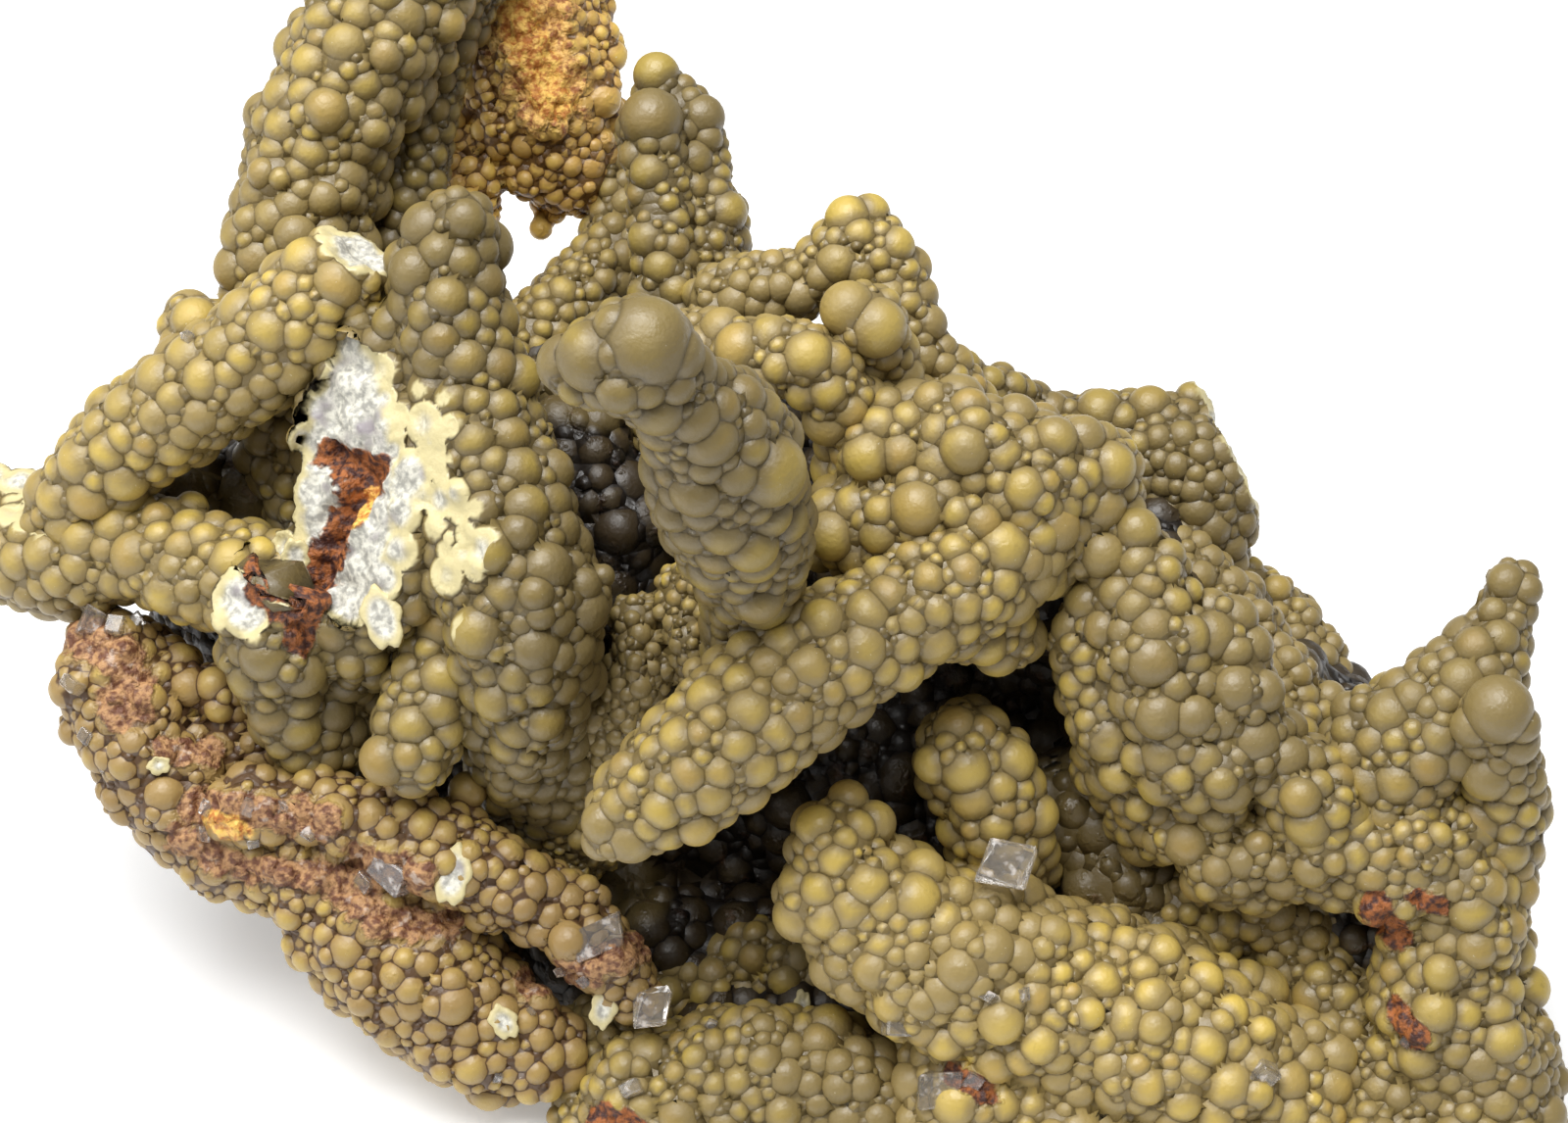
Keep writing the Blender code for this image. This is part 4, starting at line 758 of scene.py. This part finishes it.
def break_off(piece, where, facing, length):
    """Breaks the piece off flat at a place, facing a direction."""
    shape = bmesh.new()
    bmesh.ops.create_cube(shape, size=1.0)
    bmesh.ops.scale(shape, vec=Vector((BREAK_WIDTH, BREAK_WIDTH, length)) * MM, verts=shape.verts)
    bmesh.ops.transform(shape, matrix=laid_down(where + facing * length / 2, facing), verts=shape.verts)
    block = new_object("break_block", make_mesh(shape, "break_block"))
    cut = piece.modifiers.new("cut", "BOOLEAN")
    cut.operation = "DIFFERENCE"
    cut.solver = "MANIFOLD"
    cut.object = block
    apply_modifiers(piece)
    bpy.data.objects.remove(block)


def breaks_of(name):
    """The flat broken faces of a branch: place, direction and length of each."""
    return [
        (place(*where), view_direction(*direction), length)
        for broken, where, direction, length in BREAKS
        if broken == name
    ]


def read_points(mesh):
    """The mesh's vertices in millimetres."""
    flat = np.empty(len(mesh.vertices) * 3)
    mesh.vertices.foreach_get("co", flat)
    return flat.reshape(-1, 3) / MM


def write_points(mesh, points):
    """Moves the mesh's vertices to these places in millimetres."""
    mesh.vertices.foreach_set("co", (points * MM).ravel())
    mesh.update()


def near_balls(points, balls, wanted=2):
    """For each point, the balls whose surfaces are nearest, and the distances to them."""
    nearest = np.empty((len(points), wanted), dtype=int)
    distances = np.empty((len(points), wanted))
    cells, group = np.unique(np.floor(points / CELL), axis=0, return_inverse=True)
    order = np.argsort(group, kind="stable")
    starts = np.searchsorted(group[order], np.arange(len(cells) + 1))
    for i, cell in enumerate(cells):
        members = order[starts[i]:starts[i + 1]]
        middle = (cell + 0.5) * CELL
        away = np.linalg.norm(balls[:, :3] - middle, axis=1) - balls[:, 3]
        close = np.flatnonzero(away < max(CELL + SEARCH, np.sort(away)[wanted] + CELL))
        near = balls[close]
        apart = np.linalg.norm(points[members][:, None] - near[:, :3], axis=2) - near[:, 3]
        rank = np.argsort(apart, axis=1)[:, :wanted]
        nearest[members] = close[rank]
        distances[members] = np.take_along_axis(apart, rank, axis=1)
    return nearest, distances


def fit_to_balls(points, balls, reach):
    """Moves points onto the balls' joint surface, and those near a crease right into it."""
    nearest, distances = near_balls(points, balls)
    moved = points.copy()
    start_gap = distances[:, 1] - distances[:, 0]
    for _ in range(FIT_STEPS):
        first = moved - balls[nearest[:, 0], :3]
        second = moved - balls[nearest[:, 1], :3]
        length_1 = np.linalg.norm(first, axis=1)
        length_2 = np.linalg.norm(second, axis=1)
        out_1 = first / length_1[:, None]
        out_2 = second / length_2[:, None]
        gap_1 = length_1 - balls[nearest[:, 0], 3]
        gap_2 = length_2 - balls[nearest[:, 1], 3]
        cosine = (out_1 * out_2).sum(axis=1)
        spread = 1 - cosine ** 2
        crease = (start_gap < CREASE_REACH * reach) & (spread > LEAST_SPREAD)
        spread = np.where(crease, spread, 1.0)
        step_1 = np.where(crease, -(gap_1 - cosine * gap_2) / spread, -gap_1)
        step_2 = np.where(crease, -(gap_2 - cosine * gap_1) / spread, 0.0)
        moved = moved + out_1 * step_1[:, None] + out_2 * step_2[:, None]
    far = np.linalg.norm(moved - points, axis=1) > reach
    simple = points - balls[nearest[:, 0], :3]
    simple *= (balls[nearest[:, 0], 3] / np.linalg.norm(simple, axis=1))[:, None]
    moved[far] = simple[far] + balls[nearest[:, 0], :3][far]
    return moved


def cloud(points, size, seed=0.0):
    """Smooth noise from about -1 to 1 at each point, with lumps of this size."""
    shift = Vector((seed, 2 * seed, -seed))
    return np.array([noise.noise(Vector(point) / size + shift) for point in points])


def away_from_run(points, run):
    """Each point's distance from a line through these places."""
    best = np.full(len(points), np.inf)
    for start, end in zip(run[:-1], run[1:]):
        start, end = np.array(start), np.array(end)
        along = np.clip((points - start) @ (end - start) / ((end - start) @ (end - start)), 0, 1)
        away = np.linalg.norm(points - start - along[:, None] * (end - start), axis=1)
        best = np.minimum(best, away)
    return best


def seen_from_viewpoint(points):
    """Where the points are seen, across and up."""
    sine, cosine = math.sin(VIEW_ELEVATION), math.cos(VIEW_ELEVATION)
    height = points[:, 2] - MIDDLE_HEIGHT
    toward = height * sine - points[:, 1] * cosine
    rise = points[:, 1] * sine + height * cosine
    grow = VIEW_DISTANCE / (VIEW_DISTANCE - toward)
    return np.stack([points[:, 0] * grow, rise * grow], axis=1)


def store(mesh, name, values, domain="POINT"):
    """Keeps one number for each point or face, for the materials."""
    attribute = mesh.attributes.new(name, "FLOAT", domain)
    attribute.data.foreach_set("value", np.asarray(values, dtype=np.float32))


def stain_amount(points, name, stains):
    """How strongly each point of a branch is stained, from 0 to 1."""
    seen = seen_from_viewpoint(points)
    amount = np.zeros(len(points))
    for branch, run, width in stains:
        if branch == name:
            away = away_from_run(seen, run)
            amount = np.maximum(amount, np.clip(STAIN_EDGE - away / width, 0, 1))
    return amount


def outward_directions(mesh):
    """The mesh's own outward direction at each point."""
    normals = np.empty(len(mesh.vertices) * 3)
    mesh.vertex_normals.foreach_get("vector", normals)
    return normals.reshape(-1, 3)


def facing_viewpoint(mesh):
    """How much each point of the mesh faces the viewpoint, from 0 to 1."""
    return np.clip(outward_directions(mesh) @ view_direction(0, 0, 1) * FACING_EDGE, 0, 1)


def ball_normals(mesh, points, balls, rough):
    """Shades the skin as true balls, and rough places by their own shape. Gives each face's ball."""
    count = len(mesh.polygons)
    totals = np.empty(count, dtype=int)
    mesh.polygons.foreach_get("loop_total", totals)
    corners = np.empty(len(mesh.loops), dtype=int)
    mesh.loops.foreach_get("vertex_index", corners)
    faces = np.repeat(np.arange(count), totals)
    middles = np.zeros((count, 3))
    np.add.at(middles, faces, points[corners])
    middles /= totals[:, None]
    owners = near_balls(middles, balls, 1)[0][:, 0]
    outward = points[corners] - balls[owners[faces], :3]
    outward /= np.linalg.norm(outward, axis=1)[:, None]
    own = outward_directions(mesh)
    outward = np.where(rough[corners][:, None], own[corners], outward)
    mesh.normals_split_custom_set(outward.tolist())
    return owners


def rest_flat(points, fitted, size):
    """Lays the points of the resting face flat, and says which they are."""
    resting = points[:, 2] < size * NEAR_PLANE
    fitted[resting] = points[resting]
    fitted[resting, 2] = 0.0
    return resting


def roughen_breaks(points, fitted, balls, breaks, size):
    """Gives the broken faces their relief, and says how deep in the branch their points lie."""
    depth = np.zeros(len(points))
    if not breaks:
        return depth
    inside = -near_balls(points, balls)[1][:, 0]
    seen = seen_from_viewpoint(points)
    for where, facing, _ in breaks:
        above = (points - where) @ facing
        broken = (np.abs(above) < size * NEAR_PLANE) & (inside > size * RIM_REACH)
        lumps = BREAK_RELIEF * cloud(points[broken], BREAK_LUMP)
        relief = lumps + BREAK_GRAIN * cloud(points[broken], BREAK_SPECK)
        wander = CHANNEL_WANDER * cloud(points[broken], CHANNEL_LUMP, CHANNEL_SEED)
        away = away_from_run(seen[broken], RUST_CHANNEL) / CHANNEL_WIDTH
        channel = np.clip(CHANNEL_EDGE - away + wander, 0, 1)
        level = relief - CHANNEL_DEPTH * channel
        fade = np.clip(inside[broken] / BREAK_RIM, 0, 1)
        fitted[broken] = points[broken] - (above[broken] - level * fade)[:, None] * facing
        depth[broken] = inside[broken]
    return depth


def roughen_rust(mesh, points, fitted, stain):
    """Makes the stained places grainy, and says which they are."""
    grainy = stain > LEAST_RUST
    if grainy.any():
        lumps = cloud(points[grainy], RUST_LUMP)
        grain = lumps + RUST_SPECK_SHARE * cloud(points[grainy], RUST_SPECK, RUST_SEED)
        height = RUST_GRAIN * stain[grainy] * grain
        fitted[grainy] += outward_directions(mesh)[grainy] * height[:, None]
    return grainy


def branch_skin(name, balls, breaks, size):
    """A closed skin over the balls, cut level at its foot and flat at its breaks."""
    piece = ball_cluster(name + "_crust", balls, size)
    on_floor = (balls[:, 2] - balls[:, 3]).min() < 0
    if on_floor:
        level_bottom(piece)
    for where, facing, length in breaks:
        break_off(piece, where, facing, length)
    if on_floor or breaks:
        reskin(piece, size)
    return piece, on_floor


def grow_branch(name, cores):
    """One branch as a closed skin over its balls, with what its material needs to know."""
    balls = pack_balls(name, cores)
    breaks = breaks_of(name)
    size = COARSE_SKIN if name == "matrix" else FINE_SKIN
    piece, on_floor = branch_skin(name, balls, breaks, size)
    mesh = piece.data
    points = read_points(mesh)
    fitted = fit_to_balls(points, balls, size)
    flat = rest_flat(points, fitted, size) if on_floor else np.zeros(len(points), dtype=bool)
    depth = roughen_breaks(points, fitted, balls, breaks, size)
    rust = np.maximum(stain_amount(points, name, RUST_STAINS), RUST_EVERYWHERE.get(name, 0))
    glow = stain_amount(points, name, ORANGE_STAINS)
    grainy = roughen_rust(mesh, points, fitted, np.maximum(rust, glow))
    write_points(mesh, fitted)
    mesh.shade_smooth()
    owners = ball_normals(mesh, fitted, balls, flat | (depth > 0) | grainy)
    nearest, distances = near_balls(fitted, balls)
    # Crown: how far a place lies from a crease; the material paints shade where it is low
    store(mesh, "crown", np.clip(distances[:, 1] / (CROWN_WIDTH * balls[nearest[:, 0], 3]), 0, 1))
    store(mesh, "depth", depth)
    store(mesh, "rust", rust)
    store(mesh, "glow", glow)
    store(mesh, "olive", stain_amount(fitted, name, OLIVE_PATCHES) * facing_viewpoint(mesh))
    # Each branch's tone, partly its own and partly painted light and shade
    store(mesh, "tone_and_shade", np.full(len(points), BRANCH_TONES_AND_SHADES.get(name, 1.0)))
    dice = np.random.default_rng(len(balls))
    store(mesh, "tint", dice.uniform(size=len(balls))[owners], "FACE")
    return piece


def seen_surface(across, up):
    """Where a line from the viewpoint through (across, up) first meets the specimen, and how it faces."""
    eye = place(0, 0, VIEW_DISTANCE)
    aim = Vector(place(across, up, 0) - eye).normalized()
    graph = bpy.context.evaluated_depsgraph_get()
    met, where, facing, _, _, _ = bpy.context.scene.ray_cast(graph, Vector(eye) * MM, aim)
    if not met:
        return place(across, up, 0), -aim
    return np.array(where) / MM, facing


def turned(where, facing, turn):
    """The matrix that lays something down at a place, facing a direction, turned by some degrees."""
    return laid_down(where, facing) @ Matrix.Rotation(math.radians(turn), 4, "Z")


def flake(name, seen, halves, turn):
    """A thin broken scale of crust, with a scalloped outline and a rough top."""
    across, up = seen
    where, facing = seen_surface(across, up)
    aim = Vector(place(0, 0, VIEW_DISTANCE) - where).normalized()
    dice = np.random.default_rng(int(abs(across) * FLAKE_SEEDS))
    phases = dice.uniform(0, 2 * math.pi, size=len(FLAKE_WAVES))
    shape = bmesh.new()
    rings = []
    for share, height in FLAKE_RINGS:
        ring = []
        for step in range(FLAKE_STEPS):
            angle = 2 * math.pi * step / FLAKE_STEPS
            scallop = 1.0
            for (count, swell), phase in zip(FLAKE_WAVES, phases):
                scallop += swell * math.cos(count * angle + phase)
            x = halves[0] * share * scallop * math.cos(angle)
            y = halves[1] * share * scallop * math.sin(angle)
            rough = FLAKE_RELIEF * noise.noise(Vector((x, y, across)) / FLAKE_LUMP) * (share < 1)
            ring.append(shape.verts.new(Vector((x, y, height + rough)) * MM))
        rings.append(ring)
    for lower, upper in zip(rings[:-1], rings[1:]):
        for step in range(FLAKE_STEPS):
            after = (step + 1) % FLAKE_STEPS
            shape.faces.new((lower[step], lower[after], upper[after], upper[step]))
    shape.faces.new(rings[0][::-1])
    shape.faces.new(rings[-1])
    mesh = make_mesh(shape, name)
    points = read_points(mesh)
    from_rim = 1 - np.hypot(points[:, 0] / halves[0], points[:, 1] / halves[1])
    depth = np.clip(from_rim, 0, 1) * min(halves) * FLAKE_SLOPE + FLAKE_SHELL
    store(mesh, "depth", np.where(points[:, 2] > 0, depth, 0))
    store(mesh, "crown", np.ones(len(points)))
    store(mesh, "tint", np.full(len(points), FLAKE_TINT))
    store(mesh, "tone_and_shade", np.ones(len(points)))
    mesh.transform(turned(where, aim + facing * FLAKE_LEAN, turn))
    mesh.shade_smooth()
    return new_object(name, mesh)


def crystal_mesh(name, size, seed):
    """A slanted blocky crystal with worn edges and slightly uneven corners."""
    dice = np.random.default_rng(seed)
    shape = bmesh.new()
    bmesh.ops.create_cube(shape, size=1.0)
    for vert in shape.verts:
        vert.co += Vector(dice.uniform(-CRYSTAL_JITTER, CRYSTAL_JITTER, size=3))
    bmesh.ops.scale(shape, vec=Vector(size) * MM, verts=shape.verts)
    edges = shape.edges[:]
    bmesh.ops.bevel(shape, geom=edges, offset=CRYSTAL_WEAR * min(size) * MM, segments=1, affect="EDGES")
    slant = Matrix.Shear("XY", 4, (CRYSTAL_SLANT, CRYSTAL_SLANT / 2))
    bmesh.ops.transform(shape, matrix=slant, verts=shape.verts)
    return make_mesh(shape, name)


def set_crystal(name):
    """A crystal where the solid has one."""
    where, size, turn = CRYSTALS[name]
    mesh = crystal_mesh(name + "_clear", size, list(CRYSTALS).index(name))
    lean = Euler([math.radians(angle) for angle in turn]).to_matrix().to_4x4()
    mesh.transform(Matrix.Translation(Vector(place(*where)) * MM) @ lean)
    return new_object(name + "_clear", mesh)


def small_crystal(number, across, up, size):
    """A small crystal set into the crust where it is seen."""
    dice = np.random.default_rng(SMALL_SEED + number)
    where, facing = seen_surface(across, up)
    edges = size * dice.uniform(*SMALL_EDGES, size=3)
    name = f"small_crystal_{number}"
    mesh = crystal_mesh(name, edges, SMALL_SHAPE_SEED + number)
    tilt = Vector(facing) + Vector(dice.uniform(-SMALL_LEAN, SMALL_LEAN, size=3))
    mesh.transform(turned(where, tilt, dice.uniform(0, SMALL_TURN)))
    return new_object(name, mesh)


class Look:
    """A material built up from named values."""

    def __init__(self, name):
        self.material = bpy.data.materials.new(name)
        self.material.use_nodes = True
        self.tree = self.material.node_tree
        self.shader = self.tree.nodes["Principled BSDF"]
        self.place = self.tree.nodes.new("ShaderNodeTexCoord").outputs["Object"]

    def set(self, socket, value):
        """Gives a shader socket a value, or another node's result."""
        target = self.shader.inputs[socket]
        if isinstance(value, bpy.types.NodeSocket):
            self.tree.links.new(value, target)
        else:
            target.default_value = value

    def attribute(self, name):
        """A number kept with the mesh."""
        node = self.tree.nodes.new("ShaderNodeAttribute")
        node.attribute_name = name
        return node.outputs["Fac"]

    def lumps(self, name):
        """One of the noises, from 0 to 1."""
        lump, detail = NOISES[name]
        node = self.tree.nodes.new("ShaderNodeTexNoise")
        node.inputs["Scale"].default_value = 1 / (lump * MM)
        node.inputs["Detail"].default_value = detail
        self.tree.links.new(self.place, node.inputs["Vector"])
        return node.outputs["Fac"]

    def spread(self, value, low, high, start=0.0, end=1.0):
        """Stretches a value's part between low and high to run from start to end."""
        node = self.tree.nodes.new("ShaderNodeMapRange")
        node.interpolation_type = "SMOOTHSTEP"
        self.tree.links.new(value, node.inputs["Value"])
        node.inputs["From Min"].default_value = low
        node.inputs["From Max"].default_value = high
        node.inputs["To Min"].default_value = start
        node.inputs["To Max"].default_value = end
        return node.outputs["Result"]

    def ranged(self, name, value):
        """A value stretched as one of the ranges says."""
        return self.spread(value, *RANGES[name])

    def combine(self, operation, first, second):
        """Two values, added or multiplied."""
        node = self.tree.nodes.new("ShaderNodeMath")
        node.operation = operation
        for socket, value in zip(node.inputs, (first, second)):
            self.tree.links.new(value, socket)
        return node.outputs["Value"]

    def mix(self, amount, first, second):
        """Goes from the first colour to the second as amount goes from 0 to 1."""
        node = self.tree.nodes.new("ShaderNodeMix")
        node.data_type = "RGBA"
        self.tree.links.new(amount, node.inputs["Factor"])
        for number, value in zip(MIX_COLOURS, (first, second)):
            socket = node.inputs[number]
            if isinstance(value, bpy.types.NodeSocket):
                self.tree.links.new(value, socket)
            else:
                socket.default_value = (*value, 1)
        return node.outputs[MIX_RESULT]

    def blend(self, name, value, first, second):
        """Goes from the first colour to the second as a value passes through one of the ranges."""
        return self.mix(self.ranged(name, value), first, second)

    def scale(self, colour, factor):
        """A colour made lighter or darker by a factor."""
        node = self.tree.nodes.new("ShaderNodeVectorMath")
        node.operation = "SCALE"
        self.tree.links.new(colour, node.inputs[0])
        self.tree.links.new(factor, node.inputs["Scale"])
        return node.outputs["Vector"]

    def bump(self, height, depth):
        """Fine relief, this many millimetres deep."""
        node = self.tree.nodes.new("ShaderNodeBump")
        node.inputs["Distance"].default_value = depth * MM
        self.tree.links.new(height, node.inputs["Height"])
        return node.outputs["Normal"]


def ball_skin(look, crown, rim, crease_shade):
    """The waxy crust of the balls, greyer toward their rims, and darker toward and in the creases between
    them as painted shade.
    """
    height = look.attribute("crown")
    tint = look.attribute("tint")
    yellow = [value * factor for value, factor in zip(crown, YELLOW_BALL)]
    brown = [value * factor for value, factor in zip(crown, BROWN_BALL)]
    colour = look.blend("yellow_ball", tint, crown, yellow)
    colour = look.blend("brown_ball", tint, colour, brown)
    colour = look.blend("broad", look.lumps("broad"), colour, rim)
    # Toward a crease the colour goes to the rim colour: the grey partly the crust's own, the darkening
    # painted shade
    skin = look.blend("crown", height, rim, colour)
    # Painted shade: the crust darkens into the creases between the balls
    skin = look.blend("crease_shade", height, skin, crease_shade)
    # Olive crust patches on the matrix, darkened by painted shade
    skin = look.blend("olive", look.attribute("olive"), skin, OLIVE_PATCH_IN_SHADE)
    skin = look.blend("speck", look.lumps("speck"), skin, [value * DARK_SPECK for value in crown])
    skin = look.blend("dust", look.lumps("dust"), skin, DUST)
    # Scaled by the branch's tone, partly its own and partly painted light and shade
    return look.scale(skin, look.attribute("tone_and_shade"))


def broken_face(look, depth):
    """The pale shell along the rim of a break, and the fibres within it."""
    fibres = look.blend("fibre", look.lumps("fibre"), *FIBRES)
    fibres = look.blend("fibre_shade", look.lumps("fibre_shade"), fibres, FIBRE_SHADE)
    return look.blend("shell", depth, SHELL, fibres)


def crust_look(name, crown, rim, crease_shade, rust_dark, rust_light, rust_pale):
    """Waxy balls, with rust and broken places where the mesh has them."""
    look = Look(name)
    depth = look.attribute("depth")
    patchy = look.combine("ADD", look.attribute("rust"), look.ranged("patch", look.lumps("patch")))
    rusty = look.blend("rust", look.lumps("rust"), rust_dark, rust_light)
    pale = look.spread(look.lumps("pale_rust"), *RANGES["pale_rust"], 0.0, rust_pale)
    rusty = look.mix(pale, rusty, PALE_RUST)
    glowing = look.combine("ADD", look.attribute("glow"), look.ranged("glow", look.lumps("glow")))
    orange = look.blend("orange", look.lumps("orange"), *ORANGES)
    skin = look.blend("rust_edge", patchy, ball_skin(look, crown, rim, crease_shade), rusty)
    skin = look.blend("glow_edge", glowing, skin, orange)
    shell = look.blend("shell_rust", patchy, broken_face(look, depth), rusty)
    shell = look.blend("glow_edge", glowing, shell, orange)
    look.set("Base Color", look.blend("break", depth, skin, shell))
    rough = look.ranged("rough", look.lumps("rough"))
    look.set("Roughness", look.combine("ADD", rough, look.ranged("rust_rough", patchy)))
    look.set("IOR", CRUST_IOR)
    grain = look.combine("MULTIPLY", look.lumps("grain"), look.ranged("grain", patchy))
    look.set("Normal", look.bump(grain, CRUST_RELIEF))
    return look.material


def crystal_look():
    """Clear, faintly pink crystal with a few flaws."""
    look = Look("clear_crystal_look")
    flaws = look.ranged("flaw", look.lumps("flaw"))
    look.set("Base Color", look.mix(flaws, *CRYSTAL_COLOURS))
    look.set("Roughness", look.ranged("crystal_rough", look.lumps("crystal_rough")))
    look.set("Transmission Weight", look.ranged("crystal_clear", flaws))
    look.set("IOR", CRYSTAL_IOR)
    look.set("Normal", look.bump(look.lumps("crystal_grain"), CRYSTAL_RELIEF))
    return look.material


def floor_look():
    """Plain pale paper."""
    look = Look("pale_floor")
    look.set("Base Color", look.mix(look.lumps("floor"), *FLOOR_COLOURS))
    look.set("Roughness", FLOOR_ROUGHNESS)
    look.set("Emission Color", WHITE)
    look.set("Emission Strength", FLOOR_GLOW)
    return look.material


def make_floor():
    """A plain pale floor under everything."""
    shape = bmesh.new()
    bmesh.ops.create_grid(shape, x_segments=1, y_segments=1, size=FLOOR_HALF * MM)
    mesh = make_mesh(shape, "floor")
    floor = new_object("floor", mesh)
    mesh.materials.append(floor_look())


def aim_at_middle(name, data, where):
    """Sets up a lamp or camera so that it looks at the specimen's middle."""
    piece = new_object(name, data)
    piece.location = Vector(where) * MM
    piece.rotation_euler = (MIDDLE - piece.location).to_track_quat("-Z", "Y").to_euler()
    return piece


def soft_light(name, size, where, power):
    """A square soft light that faces the specimen."""
    lamp = bpy.data.lights.new(name, "AREA")
    lamp.size = size * MM
    lamp.energy = power
    aim_at_middle(name, lamp, where)


def make_camera():
    """The camera at the viewpoint."""
    lens = bpy.data.cameras.new("view_camera")
    lens.lens = CAMERA_LENS
    lens.clip_start = CAMERA_NEAR * MM
    bpy.context.scene.camera = aim_at_middle("view_camera", lens, place(0, 0, VIEW_DISTANCE))


def make_studio():
    """White surroundings, a soft light above and a weaker one from the left."""
    world = bpy.data.worlds.new("studio")
    world.use_nodes = True
    background = world.node_tree.nodes["Background"]
    background.inputs["Color"].default_value = WHITE
    background.inputs["Strength"].default_value = WORLD_STRENGTH
    bpy.context.scene.world = world
    for light in LIGHTS:
        soft_light(*light)
    make_floor()
    make_camera()
    bpy.context.scene.view_settings.view_transform = "Standard"
    bpy.context.scene.view_settings.look = "None"


def main():
    """Dresses every branch, adds the scales and crystals, and sets up the studio."""
    looks = {slot: crust_look(slot + "_look", *colours) for slot, colours in SLOT_COLOURS.items()}
    cores = {name: branch_beads(runs) for name, runs in RUNS.items()}
    for name in RUNS:
        piece = grow_branch(name, cores)
        slot = BRANCH_SLOTS.get(name, "olive_crust")
        piece.data.materials.clear()
        piece.data.materials.append(looks[slot])
        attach(piece, "root")
        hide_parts(name)
    clear = crystal_look()
    flakes = [flake(f"flake_{i}", *values) for i, values in enumerate(FLAKES)]
    for piece in flakes:
        piece.data.materials.append(looks["olive_crust"])
        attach(piece, "root")
    crystals = [small_crystal(i, *values) for i, values in enumerate(SMALL_CRYSTALS)]
    for name in CRYSTALS:
        piece = set_crystal(name)
        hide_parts(name)
        crystals.append(piece)
    for piece in crystals:
        piece.data.materials.append(clear)
        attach(piece, "root")
    make_studio()


main()
